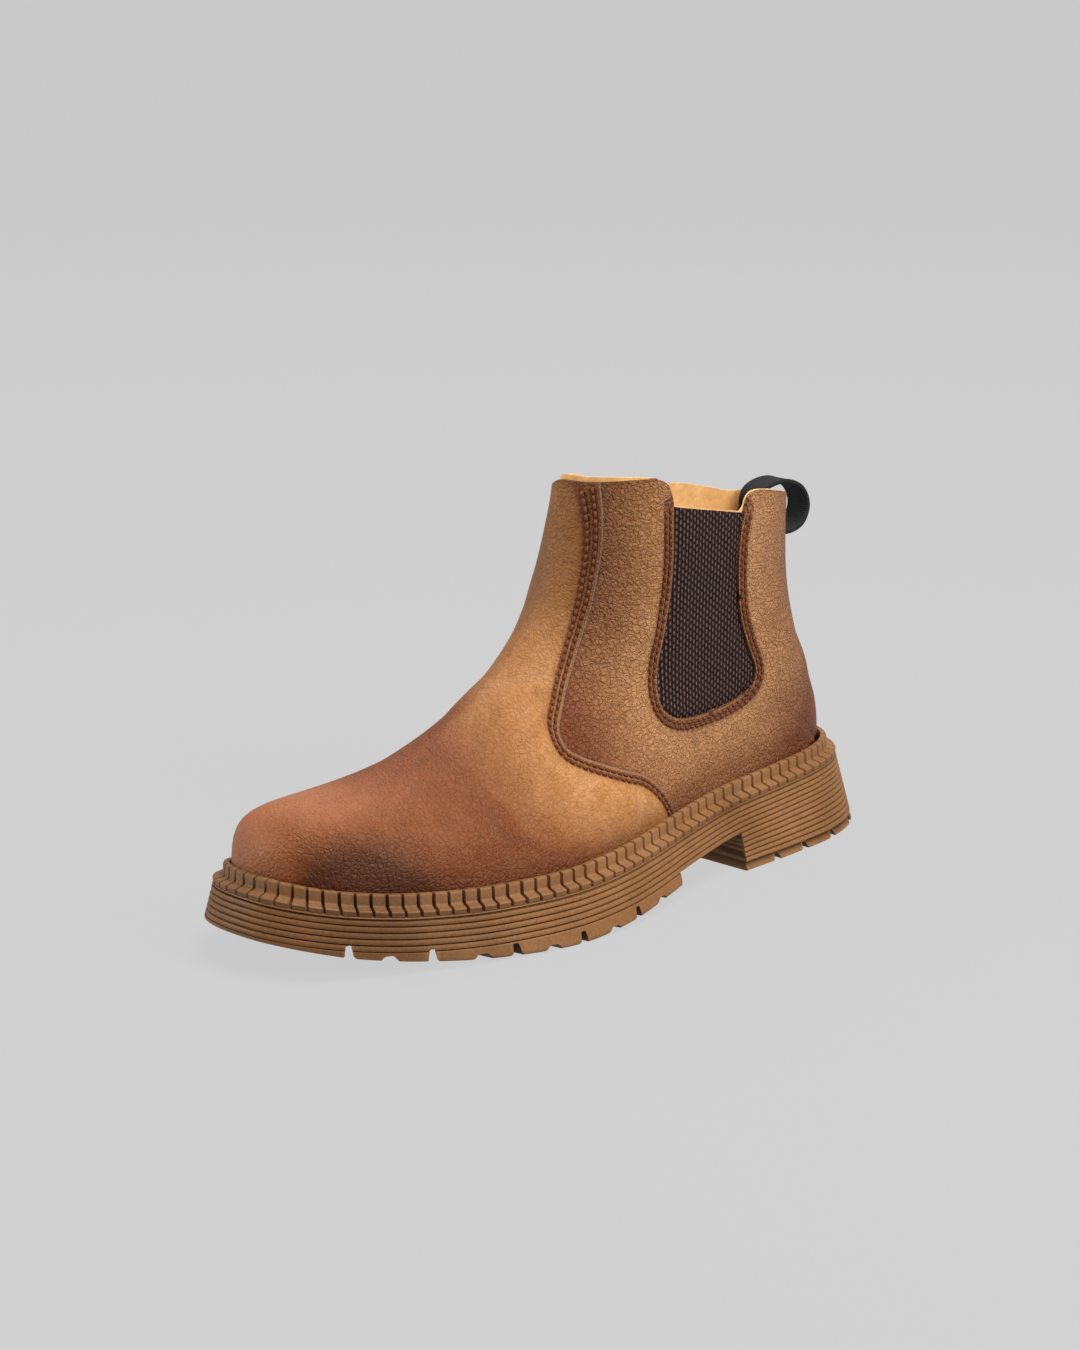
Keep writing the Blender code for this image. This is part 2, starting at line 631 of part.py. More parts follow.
def make_welt(finish):
    """A strip round the upper. Its outside is cut into stepped teeth, each with a lower and an upper riser."""
    edge = welt_loop()
    outward = welt_loop(1.0) - edge
    inner = welt_loop(GAP - UPPER_INSET)
    ring = np.vstack([edge, edge[:1]])
    run = np.concatenate([[0], np.cumsum(np.linalg.norm(np.diff(ring, axis=0), axis=1))])
    teeth = round(run[-1] / TOOTH_PITCH)
    starts = np.arange(teeth) * run[-1] / teeth
    stations = np.sort(np.concatenate([starts, starts + TOOTH_SHARE * run[-1] / teeth]))

    def at(values):
        closed = np.vstack([values, values[:1]])
        return np.column_stack([np.interp(stations, run, closed[:, j]) for j in range(2)])

    edge, outward, inner = at(edge), at(outward), at(inner)
    ledge = LEDGE_DEPTH
    # outset from the edge and height above the sole
    tooth = ((0.0, GAP), (0.0, LOWER_RISER), (-ledge, LEDGE_INNER), (-ledge - 0.3 * LIP, WELT_RISE))
    gap = ((-ledge - TOOTH_CUT, LEDGE_INNER - TOOTH_CUT), (-ledge - TOOTH_CUT, WELT_RISE - TOOTH_CUT))
    points = []
    for place, out, inside in zip(edge, outward, inner):
        top = float(seat(place[0]))
        for outset, height in tooth + gap:
            points.append((*(place + outset * out), top + height))
        points.append((*inside, top + WELT_RISE))
        points.append((*inside, top + GAP))
    foot, riser, ledge_in, crest, cut_low, cut_high, rim, root = range(8)
    faces = []
    count = len(stations)
    for i in range(count):
        a, b = 8 * i, 8 * ((i + 1) % count)
        chain = (foot, riser, ledge_in, crest, rim) if i % 2 == 0 else (foot, cut_low, cut_high, rim)
        for near, far in zip(chain, chain[1:]):
            faces.append((a + far, b + far, b + near, a + near))
        faces.append((a + root, b + root, b + rim, a + rim))
        faces.append((a + foot, b + foot, b + root, a + root))
        cheek = tuple(a + j for j in (foot, riser, ledge_in, crest, rim, cut_high, cut_low))
        faces.append(cheek if i % 2 == 0 else cheek[::-1])
    return mesh_object("welt", points, faces, finish)


# Insole


def make_insole(finish):
    """A board on the sole, a gap inside the foot of the upper's wall."""
    inner = form(-WALL - 2 * GAP)
    meets = np.linalg.norm(inner[:, 0] - inner[:, -1], axis=1) < MERGE
    at_heel = 1 - smooth_step(2 * UPPER_INSET, 0.1 * LENGTH, inner[..., 0])
    inner += at_heel[..., None] * (form(-1.5 * WALL - 2 * GAP) - inner)
    inner = inner[: 2 + meets[1:].argmax()]
    points, count = [], len(inner)
    for lift in (GAP + INSOLE_THICKNESS, GAP):
        sides = []
        for foot, above in ((inner[:, 0], inner[:, 1]), (inner[:, -1], inner[:, -2])):
            climb = (lift - GAP) / (above[:, 2] - foot[:, 2])
            place = foot + climb[:, None] * (above - foot)
            sides.append(np.column_stack([place[:, :2], seat(place[:, 0]) + lift]))
        points += [sides[0], sides[1][::-1]]
    around = 2 * count
    faces = [(j, (j + 1) % around, around + (j + 1) % around, around + j) for j in range(around)]
    for k in range(count - 1):
        faces.append((k, around - 1 - k, around - 2 - k, k + 1))
        faces.append((around + k + 1, 2 * around - 2 - k, 2 * around - 1 - k, around + k))
    return mesh_object("insole", np.vstack(points), faces, finish)


# Upper, gores, strip and loop


def gore_outline(inset=0.0):
    """The gore opening seen from the side, front top round by the foot to rear top, moved in by inset."""
    corners = np.array(side_points(GORE_FRONT + GORE_FOOT + GORE_REAR))
    run = np.gradient(corners, axis=0)
    run /= np.linalg.norm(run, axis=1)[:, None]
    return [tuple(p) for p in corners + inset * np.column_stack([run[:, 1], -run[:, 0]])]


def make_upper(finish):
    """Vamp, quarters and heel tab as one wall. The quarters are cut down below the vamp's face."""
    upper = shell("upper", 0.0, -WALL, finish)
    above, ahead = 2 * COLLAR_HEIGHT, 2 * LENGTH
    rim = side_points(QUARTER_RIM) + gore_outline() + side_points(TAB_RIM)
    outline = [(ahead, above), (ahead, rim[0][1])] + rim + [(-ahead, rim[-1][1]), (-ahead, above)]
    boolean(upper, "DIFFERENCE", side_prism("collar_cutter", outline, -BALL_WIDTH, BALL_WIDTH))
    boolean(upper, "DIFFERENCE", make_quarter_cutter())
    return upper


def make_quarter_cutter():
    """What lies behind the vamp's seam, between the quarters' face and well outside the upper."""
    cutter = shell("quarter_cutter", 3 * VAMP_STEP, -VAMP_STEP)
    seam = curve_through(side_points(VAMP_SEAM), 2)
    foot = seat(seam[:, 0]) + WELT_RISE + 2 * GAP
    seam = seam[seam[:, 1] > foot]
    behind = np.linspace(seam[-1, 0], -0.1 * LENGTH, 10)
    band = np.column_stack([behind, seat(behind) + WELT_RISE + 2 * GAP])
    above = [(-0.1 * LENGTH, 2 * COLLAR_HEIGHT), (seam[0, 0], 2 * COLLAR_HEIGHT)]
    outline = [tuple(p) for p in np.vstack([seam, band, above])]
    boolean(cutter, "INTERSECT", side_prism("quarter_area", outline, -BALL_WIDTH, BALL_WIDTH))
    return cutter


def make_gore(name, side, finish):
    """The elastic in one opening, between the quarters' face and the lining."""
    outer, inner = -VAMP_STEP - GORE_SINK, -WALL
    panel = shell(name, outer, inner, finish)
    front, rear = side_points(GORE_TOP)
    corners = [p for p in gore_outline(GAP) if p[1] < rear[1] - GORE_DIP]
    slope = (front[1] - rear[1]) / (front[0] - rear[0])
    top = [(x, rear[1] + slope * (x - rear[0])) for x in (corners[-1][0], corners[0][0])]
    near, far = sorted((side * STRIP_WIDTH, side * BALL_WIDTH))
    boolean(panel, "INTERSECT", side_prism(name + "_area", corners + top, near, far))
    return panel


def make_back_strip(finish):
    """A narrow strip over the back seam, from the welt to the pull loop."""
    face = GAP - VAMP_STEP
    strip = shell("back_strip", face + STRIP_THICKNESS, face, finish)
    foot = float(seat(0.0)) + WELT_RISE + 2 * GAP
    outline = [(-LENGTH, foot), (LENGTH / 4, foot), (LENGTH / 4, STRIP_TOP), (-LENGTH, STRIP_TOP)]
    boolean(strip, "INTERSECT", side_prism("strip_area", outline, -STRIP_WIDTH / 2, STRIP_WIDTH / 2))
    return strip


def make_pull_loop(finish):
    """Webbing from the lining over the rim and back to the seam, where it ends on the strip's top."""
    rim = np.array(side_points(TAB_RIM)[::-1])
    back = float(back_seam(rim[0, 1])) + VAMP_STEP
    rim_height = float(np.interp(back + WALL, rim[:, 0], rim[:, 1]))
    route = curve_through([(back - t.behind, rim_height + t.above) for t in LOOP_ROUTE], 3)
    run = np.gradient(route, axis=0)
    run /= np.linalg.norm(run, axis=1)[:, None]
    half = LOOP_THICKNESS / 2 * np.column_stack([-run[:, 1], run[:, 0]])
    outline = [tuple(p) for p in np.vstack([route + half, (route - half)[::-1]])]
    return side_prism("pull_loop", outline, -LOOP_WIDTH / 2, LOOP_WIDTH / 2, finish)


def centre_on_floor():
    """Moves all pieces so that the origin is under the middle of the whole boot's box."""
    graph = bpy.context.evaluated_depsgraph_get()
    corners = []
    for obj in bpy.data.objects:
        if not obj.hide_render:
            mesh = obj.evaluated_get(graph).to_mesh()
            points = np.empty(len(mesh.vertices) * 3)
            mesh.vertices.foreach_get("co", points)
            points = points.reshape(-1, 3)
            corners += [points.min(axis=0), points.max(axis=0)]
    low, high = np.min(corners, axis=0), np.max(corners, axis=0)
    middle = (low + high) / 2
    for obj in bpy.data.objects:
        obj.location = (-middle[0], -middle[1], -low[2])


def main():
    clear_scene()
    rubber = material("tan_rubber", (0.26, 0.13, 0.055), 0.6)
    leather = material("tan_leather", (0.37, 0.17, 0.075), 0.45)
    make_outsole(rubber)
    make_welt(material("welt_rubber", (0.27, 0.14, 0.065), 0.6))
    make_insole(material("insole_fabric", (0.62, 0.38, 0.15), 0.8))
    make_upper(leather)
    elastic = material("brown_elastic", (0.045, 0.022, 0.018), 0.75)
    make_gore("gore_lateral", 1, elastic)
    make_gore("gore_medial", -1, elastic)
    make_back_strip(material("dark_strip", (0.02, 0.022, 0.02), 0.6))
    make_pull_loop(material("black_webbing", (0.012, 0.012, 0.012), 0.8))
    centre_on_floor()


main()
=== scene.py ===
import math
from collections import namedtuple

import bpy
import numpy as np
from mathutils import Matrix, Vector
from mathutils.bvhtree import BVHTree


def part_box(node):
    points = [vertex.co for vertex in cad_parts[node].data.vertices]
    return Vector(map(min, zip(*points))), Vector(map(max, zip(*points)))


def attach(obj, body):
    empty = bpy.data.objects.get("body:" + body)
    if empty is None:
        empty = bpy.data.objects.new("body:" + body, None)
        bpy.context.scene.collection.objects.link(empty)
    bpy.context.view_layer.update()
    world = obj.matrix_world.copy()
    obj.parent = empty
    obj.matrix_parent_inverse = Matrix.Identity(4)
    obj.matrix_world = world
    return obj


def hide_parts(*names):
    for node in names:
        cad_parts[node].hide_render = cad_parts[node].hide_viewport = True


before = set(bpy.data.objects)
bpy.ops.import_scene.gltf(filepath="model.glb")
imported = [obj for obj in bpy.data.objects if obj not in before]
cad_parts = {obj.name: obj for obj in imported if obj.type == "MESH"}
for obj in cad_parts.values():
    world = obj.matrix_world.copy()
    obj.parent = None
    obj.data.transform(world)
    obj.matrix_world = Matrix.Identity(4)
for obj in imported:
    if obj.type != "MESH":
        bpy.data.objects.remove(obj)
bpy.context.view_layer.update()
bpy.ops.object.select_all(action="DESELECT")

# Studio: a pale floor, soft light from large panels and the camera on the boot's outer front corner.
# Lengths are in metres from the last's own origin, on the floor under the back of the welt.
loop_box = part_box("pull_loop")
LAST_ORIGIN = np.array([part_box("welt")[0][0], (loop_box[0][1] + loop_box[1][1]) / 2, 0.0])
AIM = Vector((0.150, 0.0, 0.080)) + Vector(LAST_ORIGIN)


def direction(azimuth, elevation):
    a, e = math.radians(azimuth), math.radians(elevation)
    return Vector((math.sin(a) * math.cos(e), -math.cos(a) * math.cos(e), math.sin(e)))


def set_inputs(node, values):
    for name, value in values.items():
        node.inputs[name].default_value = value


CAMERA_DISTANCE = 1.4
back = direction(134.0, 15.0)
camera_turn = back.to_track_quat("Z", "Y").to_euler()
bpy.ops.object.camera_add(location=AIM + CAMERA_DISTANCE * back, rotation=camera_turn)
camera = bpy.context.object
camera.data.lens = 98.56
camera.data.sensor_width = 36.0
camera.data.shift_x = -0.0125
camera.data.shift_y = 0.00585
camera.data.clip_start = 0.05
camera.data.clip_end = 60.0
bpy.context.scene.camera = camera
bpy.context.scene.view_settings.view_transform = "Standard"

bpy.ops.mesh.primitive_plane_add(size=24.0, location=(0.0, 0.0, 0.0))
floor = bpy.context.object
floor.name = "studio_floor"
floor_finish = bpy.data.materials.new("studio_floor")
floor_finish.use_nodes = True
FLOOR_GLOW = 0.575
set_inputs(floor_finish.node_tree.nodes["Principled BSDF"], {
    "Base Color": (0.03, 0.03, 0.03, 1.0), "Roughness": 1.0, "Specular IOR Level": 0.0,
    "Emission Color": (1.0, 1.0, 1.0, 1.0), "Emission Strength": FLOOR_GLOW,
})
floor.data.materials.append(floor_finish)

PANELS = (
    # name, azimuth, elevation, distance, width, height, watts
    ("top_panel", 190.0, 72.0, 1.4, 0.8, 0.8, 28.0),
    ("key_panel", 46.0, 18.0, 1.5, 0.4, 0.4, 14.0),
    ("side_panel", 190.0, 28.0, 1.6, 0.6, 0.6, 17.0),
    ("back_panel", 320.0, 45.0, 1.6, 0.6, 0.6, 6.0),
)
for name, azimuth, elevation, distance, width, height, watts in PANELS:
    out = direction(azimuth, elevation)
    bpy.ops.object.light_add(type="AREA", location=AIM + distance * out)
    panel = bpy.context.object
    panel.name = name
    panel.rotation_euler = out.to_track_quat("Z", "Y").to_euler()
    panel.data.shape = "RECTANGLE"
    panel.data.size = width
    panel.data.size_y = height
    panel.data.energy = watts

world = bpy.data.worlds.new("studio")
bpy.context.scene.world = world
world.use_nodes = True
set_inputs(world.node_tree.nodes["Background"], {"Color": (1.0, 1.0, 1.0, 1.0), "Strength": 0.30})

# Outsole: one moulding of tan rubber, with a ribbed side that leans outwards, a heel block, a raised arch
# and a tread of lugs. It is stacked from sections of its outline, and the channels are then cut across.
LENGTH = 0.300
BALL_WIDTH = 0.104
HEEL_SEAT = 0.0273
GAP = 0.0003
MERGE = 1e-6
FINE_MERGE = 1e-8
HALF_BALL = BALL_WIDTH / 2
RIB_COUNT = 5
RIB_PITCH = 0.00224
RIB_DEPTH = 0.0012
RIB_STEPS = (0.07, 0.16, 0.35, 0.65, 0.84, 0.93, 1.0)
FLARE = 0.26
LIP = 0.0004
HEEL_RIBS = 6
HEEL_LENGTH = 0.087
TREAD_START = 0.132
LUG_HEIGHT = 0.0034
LUG_ROUND = 0.0014
SOLE_SECTIONS = 170
RIBBED_HEIGHT = 0.031
# Painted shade: the sole's side and the welt's are darkened towards the toe front, most at the share below
PAINTED_TOE_SHADE = 0.55
TOE_SHADE_PLACE = 0.90  # share of LENGTH, for the sole and the welt

# The edge of the welt seen from above: share of LENGTH along it, then shares of HALF_BALL to the lateral and
# to the medial side
TOE_TIP = -0.185
OUTLINE = (
    (0.015, 0.290, 0.260), (0.050, 0.480, 0.440), (0.110, 0.605, 0.570), (0.200, 0.665, 0.635),
    (0.300, 0.700, 0.655), (0.400, 0.810, 0.685), (0.500, 0.940, 0.760), (0.580, 1.000, 0.855),
    (0.660, 0.980, 0.950), (0.740, 0.875, 1.000), (0.820, 0.720, 1.000), (0.890, 0.540, 0.975),
    (0.940, 0.375, 0.868), (0.975, 0.210, 0.680), (0.995, 0.020, 0.440),
)

# The sole seen from the side: its top and the floor under it as shares of HEEL_SEAT, and its side's depth
# as a share of the forefoot's
Level = namedtuple("Level", "along seat spring slab")
LEVELS = (
    Level(-0.10, 1.000, 0.00, 0.87),
    Level(0.00, 1.000, 0.00, 0.87),
    Level(0.10, 0.980, 0.00, 0.87),
    Level(0.27, 0.905, 0.00, 0.87),
    Level(0.305, 0.882, 0.00, 0.87),
    Level(0.40, 0.815, 0.26, 0.90),
    Level(0.47, 0.760, 0.19, 0.95),
    Level(0.55, 0.700, 0.08, 1.00),
    Level(0.65, 0.645, 0.00, 1.00),
    Level(0.75, 0.635, 0.04, 1.00),
    Level(0.85, 0.690, 0.15, 1.00),
    Level(0.92, 0.790, 0.28, 1.00),
    Level(1.00, 0.985, 0.52, 1.00),
    Level(1.10, 1.300, 0.82, 1.00),
)

# Channels cut across the sole, by kind: shares of LENGTH where they lie, width at the floor, depth above the
# floor, and how far in from each edge they run (0 is right across)
CHANNEL_KINDS = (
    ((0.930, 0.837, 0.743, 0.647, 0.547), 0.0026, 0.0046, 0.0),
    ((0.887, 0.787, 0.693, 0.593, 0.493), 0.0046, 0.0021, 0.010),
    ((0.227, 0.167, 0.100, 0.033), 0.0030, 0.0030, 0.0),
)
# the one along the middle starts, bends up with the toe and ends at these shares of LENGTH
CENTRE_FROM = 0.46
CENTRE_BEND = 0.70
CENTRE_TO = 0.86
CENTRE_HALF = 0.0022


def smooth_curve(keys, values, at):
    """A cubic through the keys that never overshoots them."""
    keys = np.asarray(keys, float)
    values = np.asarray(values, float)
    at = np.clip(np.asarray(at, float), keys[0], keys[-1])
    span = np.diff(keys)
    rate = np.diff(values) / span
    slope = np.zeros(len(keys))
    slope[0], slope[-1] = rate[0], rate[-1]
    for i in range(1, len(keys) - 1):
        if rate[i - 1] * rate[i] > 0:
            before = 2 * span[i] + span[i - 1]
            after = span[i] + 2 * span[i - 1]
            slope[i] = (before + after) / (before / rate[i - 1] + after / rate[i])
    i = np.clip(np.searchsorted(keys, at) - 1, 0, len(span) - 1)
    t = (at - keys[i]) / span[i]
    start = (2 * t**3 - 3 * t**2 + 1) * values[i] + (t**3 - 2 * t**2 + t) * span[i] * slope[i]
    return start + (3 * t**2 - 2 * t**3) * values[i + 1] + (t**3 - t**2) * span[i] * slope[i + 1]


def between(t, low, high, first, second):
    """The straight blend that is first at low and second at high."""
    return (high - t) / (high - low) * first + (t - low) / (high - low) * second


def curve_through(points, per_span, closed=False):
    """A centripetal Catmull-Rom curve, with per_span points from each point to the next."""
    points = np.asarray(points, float)
    if closed:
        padded = np.vstack([points[-1], points, points[0], points[1]])
    else:
        padded = np.vstack([2 * points[0] - points[1], points, 2 * points[-1] - points[-2]])
    pieces = []
    for i in range(1, len(padded) - 2):
        p = padded[i - 1 : i + 3]
        knot = np.concatenate([[0], np.cumsum(np.sqrt(np.linalg.norm(np.diff(p, axis=0), axis=1)))])
        t = np.linspace(knot[1], knot[2], per_span, endpoint=False)[:, None]
        a = [between(t, knot[j], knot[j + 1], p[j], p[j + 1]) for j in range(3)]
        b = [between(t, knot[j], knot[j + 2], a[j], a[j + 1]) for j in range(2)]
        pieces.append(between(t, knot[1], knot[2], b[0], b[1]))
    if not closed:
        pieces.append(points[-1:])
    return np.vstack(pieces)


def smooth_step(low, high, value):
    t = np.clip((np.asarray(value, float) - low) / (high - low), 0, 1)
    return t * t * (3 - 2 * t)


def rounding(share, power):
    """0 at the edge of a rounded form, 1 from one full depth inside it."""
    return (1 - (1 - np.clip(share, 0, 1)) ** power) ** (1 / power)


def welt_loop(outset=0.0):
    """The edge of the welt seen from above, heel back first, round by the lateral side."""
    lateral = [(along * LENGTH, side * HALF_BALL) for along, side, _ in OUTLINE]
    medial = [(along * LENGTH, -side * HALF_BALL) for along, _, side in OUTLINE]
    corners = [(0, 0)] + lateral + [(LENGTH, TOE_TIP * HALF_BALL)] + medial[::-1]
    loop = curve_through(corners, 24, closed=True)
    run = np.roll(loop, -1, axis=0) - np.roll(loop, 1, axis=0)
    run /= np.linalg.norm(run, axis=1)[:, None]
    return loop + outset * np.column_stack([-run[:, 1], run[:, 0]])


def side_chains(loop):
    """The loop's lateral and medial chains, each from the heel back to the toe tip."""
    turned = np.roll(loop, -loop[:, 0].argmin(), axis=0)
    tip = turned[:, 0].argmax()
    return turned[: tip + 1], np.vstack([turned[:1], turned[tip:][::-1]])


def level(column, x):
    along = [row.along for row in LEVELS]
    return smooth_curve(along, [getattr(row, column) for row in LEVELS], np.asarray(x) / LENGTH)


def seat(x):
    """Height of the sole's top."""
    return HEEL_SEAT * level("seat", x)


def ground(x):
    """Height of the lugs' undersides: 0 but for the toe spring."""
    return HEEL_SEAT * level("spring", x)


def slab_depth(x):
    return RIB_COUNT * RIB_PITCH * level("slab", x)


def edge_samples(places):
    """Lateral and medial points of the welt's edge with their outward directions, at places along X."""
    loop = welt_loop()
    chains = side_chains(np.hstack([loop, welt_loop(1.0) - loop]))
    found = []
    for chain in chains:
        columns = [np.interp(places, chain[:, 0], chain[:, j]) for j in (1, 2, 3)]
        outward = np.column_stack(columns[1:])
        outward /= np.linalg.norm(outward, axis=1)[:, None]
        found.append((np.column_stack([places, columns[0]]), outward))
    return found


def only(piece):
    bpy.ops.object.select_all(action="DESELECT")
    piece.select_set(True)
    bpy.context.view_layer.objects.active = piece


def new_piece(name, points, faces, attributes=None, merge=MERGE):
    """A mesh object from points in the last's frame, with its close points merged."""
    mesh = bpy.data.meshes.new(name)
    placed = np.asarray(points, float).reshape(-1, 3) + LAST_ORIGIN
    mesh.from_pydata(placed.tolist(), [], [tuple(int(i) for i in face) for face in faces])
    for key, values in (attributes or {}).items():
        layer = mesh.attributes.new(key, "FLOAT", "POINT")
        layer.data.foreach_set("value", np.asarray(values, np.float32).ravel())
    made = bpy.data.objects.new(name, mesh)
    bpy.context.scene.collection.objects.link(made)
    only(made)
    bpy.ops.object.mode_set(mode="EDIT")
    bpy.ops.mesh.select_all(action="SELECT")
    bpy.ops.mesh.remove_doubles(threshold=merge)
    bpy.ops.mesh.dissolve_degenerate(threshold=merge)
    bpy.ops.mesh.delete_loose()
    bpy.ops.object.mode_set(mode="OBJECT")
    return made


def face_outwards(piece):
    only(piece)
    bpy.ops.object.mode_set(mode="EDIT")
    bpy.ops.mesh.select_all(action="SELECT")
    bpy.ops.mesh.normals_make_consistent(inside=False)
    bpy.ops.object.mode_set(mode="OBJECT")


def apply_modifiers(piece, smooth_angle):
    only(piece)
    for modifier in list(piece.modifiers):
        bpy.ops.object.modifier_apply(modifier=modifier.name)
    bpy.ops.object.shade_smooth_by_angle(angle=math.radians(smooth_angle))


def leaning(depth, inset=0.0):
    """How far outside the welt's edge the sole's side is at this depth below its top."""
    return LIP + FLARE * depth - inset


def rib_levels(top, depth, count):
    """Heights and insets of rounded ribs with a narrow groove under each."""
    levels = []
    for rib in range(count):
        for share in RIB_STEPS:
            levels.append((top - depth * (rib + share) / count, RIB_DEPTH * abs(2 * share - 1) ** 6))
    return levels


def sole_levels(places, block):
    """(outset, height) of each level at these places, where block is heel, arch or tread."""
    top = seat(places)
    under = top - slab_depth(places)
    bottom = ground(places)
    steps = len(RIB_STEPS)
    heights = [(top, 0.0)] + rib_levels(top, slab_depth(places), RIB_COUNT)
    if block == "heel":
        heights += rib_levels(under, under - LUG_HEIGHT, HEEL_RIBS)
    elif block == "tread":
        side = HEEL_RIBS * steps
        for step in range(side):
            share = (step + 1) / side
            heights.append((under + (bottom + LUG_ROUND - under) * share, RIB_DEPTH * (1 - share) ** 40))
    if block == "arch":
        heights += (HEEL_RIBS * steps + 4) * [heights[-1]]
    else:
        for turn in (0.35, 0.65, 0.88, 1.0):
            swing = turn * math.pi / 2
            heights.append((bottom + LUG_ROUND * (1 - math.sin(swing)), LUG_ROUND * (1 - math.cos(swing))))
    return [(leaning(top - height, inset), height) for height, inset in heights]


sole_places = LENGTH * (1 - np.cos(np.linspace(0, math.pi, SOLE_SECTIONS + 1))) / 2
near = LENGTH / SOLE_SECTIONS / 2
heel_places = np.append(sole_places[sole_places < HEEL_LENGTH - near], HEEL_LENGTH)
arch_places = np.linspace(HEEL_LENGTH, TREAD_START, 14)
tread_places = np.insert(sole_places[sole_places > TREAD_START + near], 0, TREAD_START)
sole_sides = [[], []]
grooves = []
for block, places in (("heel", heel_places), ("arch", arch_places), ("tread", tread_places)):
    levels = sole_levels(places, block)
    square = np.isin(places, (HEEL_LENGTH, TREAD_START))
    for side, (edge, outward) in zip(sole_sides, edge_samples(places)):
        rings = [np.column_stack([edge + outset[:, None] * outward, height]) for outset, height in levels]
        column = np.array(rings)
        column[:, square, 0] = edge[square, 0]
        side.append(column)
    top = seat(places)
    # painted shade: each level of the ribbed side is darkened by how deep it lies in a groove
    sunk = [
        np.clip((leaning(top - height) - outset) / RIB_DEPTH, 0, 1) * (height > top - RIBBED_HEIGHT)
        for outset, height in levels
    ]
    # painted shade, darkest towards the toe front
    painted_toe_shade = PAINTED_TOE_SHADE * np.exp(-(((places / LENGTH - TOE_SHADE_PLACE) / 0.11) ** 2))
    grooves.append(np.maximum(sunk, painted_toe_shade))
sole_points = np.array([np.concatenate(side, axis=1) for side in sole_sides])
sole_rows, sole_count = sole_points.shape[1:3]
slab_end = len(RIB_STEPS) * RIB_COUNT


def sole_index(side, row, k):
    return (side * sole_rows + row) * sole_count + k


sole_faces = []
breast_walls = {len(heel_places) - 1, len(heel_places) + len(arch_places) - 1}
for k in range(sole_count - 1):
    sole_faces.append([sole_index(s, 0, j) for s, j in ((0, k), (1, k), (1, k + 1), (0, k + 1))])
    if k in breast_walls:
        deep = k if k < len(heel_places) else k + 1
        wall = range(slab_end, sole_rows)
        profile = [sole_index(0, row, deep) for row in wall]
        sole_faces.append(profile + [sole_index(1, row, deep) for row in reversed(wall)])
        continue
    last = sole_rows - 1
    sole_faces.append([sole_index(s, last, j) for s, j in ((0, k), (0, k + 1), (1, k + 1), (1, k))])
    for side in (0, 1):
        for row in range(sole_rows - 1):
            corners = ((row, k), (row, k + 1), (row + 1, k + 1), (row + 1, k))
            sole_faces.append([sole_index(side, r, j) for r, j in corners])
for row in range(sole_rows - 1):
    for end in (0, sole_count - 1):
        corners = ((0, row), (1, row), (1, row + 1), (0, row + 1))
        sole_faces.append([sole_index(side, r, end) for side, r in corners])
grooves = np.concatenate(grooves, axis=1)
grooves[-4:] = 0.0
outsole = new_piece("outsole_moulding", sole_points, sole_faces, {"groove": np.stack([grooves, grooves])})
face_outwards(outsole)


def add_tube(points, faces, rings):
    """Adds rings of points, with faces from each to the next and over both ends."""
    first, size = len(points), len(rings[0])
    for ring in rings:
        points.extend(ring)
    last = len(points) - size
    for start in range(first, last, size):
        for j in range(size):
            a, b = start + j, start + (j + 1) % size
            faces.append((a, a + size, b + size, b))
    faces.append(tuple(range(first, first + size)))
    faces.append(tuple(reversed(range(last, last + size))))


# half a channel's section: outset from its side and height over its foot, then share of its half width and
# drop from its top
CHANNEL_MOUTH = ((0.0042, 0.0), (0.0014, 0.0038), (0.0003, 0.0050))
CHANNEL_ROOF = ((0.85, 0.0004), (0.55, 0.0))
MID_RIDGE = 0.0021
UNDER_FLOOR = 0.004


def channel_cutter(name, boxes):
    """One mesh of wedges with rounded mouths. A box is its middle line's ends, half width and two heights."""
    points, faces = [], []
    for start, end, half, low, high in boxes:
        section = [(-half - out, low + up) for out, up in CHANNEL_MOUTH]
        section += [(-half * share, high - drop) for share, drop in CHANNEL_ROOF]
        section += [(-offset, height) for offset, height in reversed(section)]
        along = np.array(end) - np.array(start)
        along = along / np.linalg.norm(along)
        across = np.array([along[1], -along[0]])
        rings = [[(*(at + offset * across), height) for offset, height in section] for at in (start, end)]
        add_tube(points, faces, rings)
    # each cutter point carries full painted shade
    cutter = new_piece(name, points, faces, {"groove": np.ones(len(points))})
    face_outwards(cutter)
    return cutter


def slant_at(x):
    """How far a channel leans, so that the ones under the toe fan out."""
    if x < TREAD_START:
        return 0.0
    return 0.2 if x < 0.80 * LENGTH else -0.8


cross_boxes = []
channels = [(along, *rest) for places, *rest in CHANNEL_KINDS for along in places]
for along, width, depth, reach in sorted(channels, reverse=True):
    x = along * LENGTH
    floor_here = float(ground(x))
    low, high = floor_here - UNDER_FLOOR, floor_here + depth
    edges = [side[0][0, 1] for side in edge_samples(np.array([x]))]
    slant = slant_at(x)
    for side, edge in ((1, edges[0]), (-1, edges[1])):
        inner = side * MID_RIDGE if reach == 0 else edge - side * reach
        outer = side * 0.9 * BALL_WIDTH
        ends = [(x + slant * side * (edge - y), y) for y in (inner, outer)]
        cross_boxes.append((ends[0], ends[1], width / 2, low, high))
bend = CENTRE_BEND * LENGTH
centre_box = [((CENTRE_FROM * LENGTH, 0.0), (bend, 0.0), CENTRE_HALF, -UNDER_FLOOR, 0.003)]
centre_box.append(((bend + 0.0005, 0.0), (CENTRE_TO * LENGTH, 0.0), CENTRE_HALF, -0.002, 0.005))
cutters = [channel_cutter("cross_channels", cross_boxes), channel_cutter("centre_channel", centre_box)]
for cutter in cutters:
    cut = outsole.modifiers.new("channels", "BOOLEAN")
    cut.operation = "DIFFERENCE"
    cut.object = cutter
    cut.solver = "MANIFOLD"


def rounded_places(piece):
    return [tuple(place) for place in np.round([v.co for v in piece.data.vertices], 6).tolist()]


moulded = set(rounded_places(outsole))
apply_modifiers(outsole, 35)
for cutter in cutters:
    bpy.data.objects.remove(cutter)
outsole.data.materials.clear()
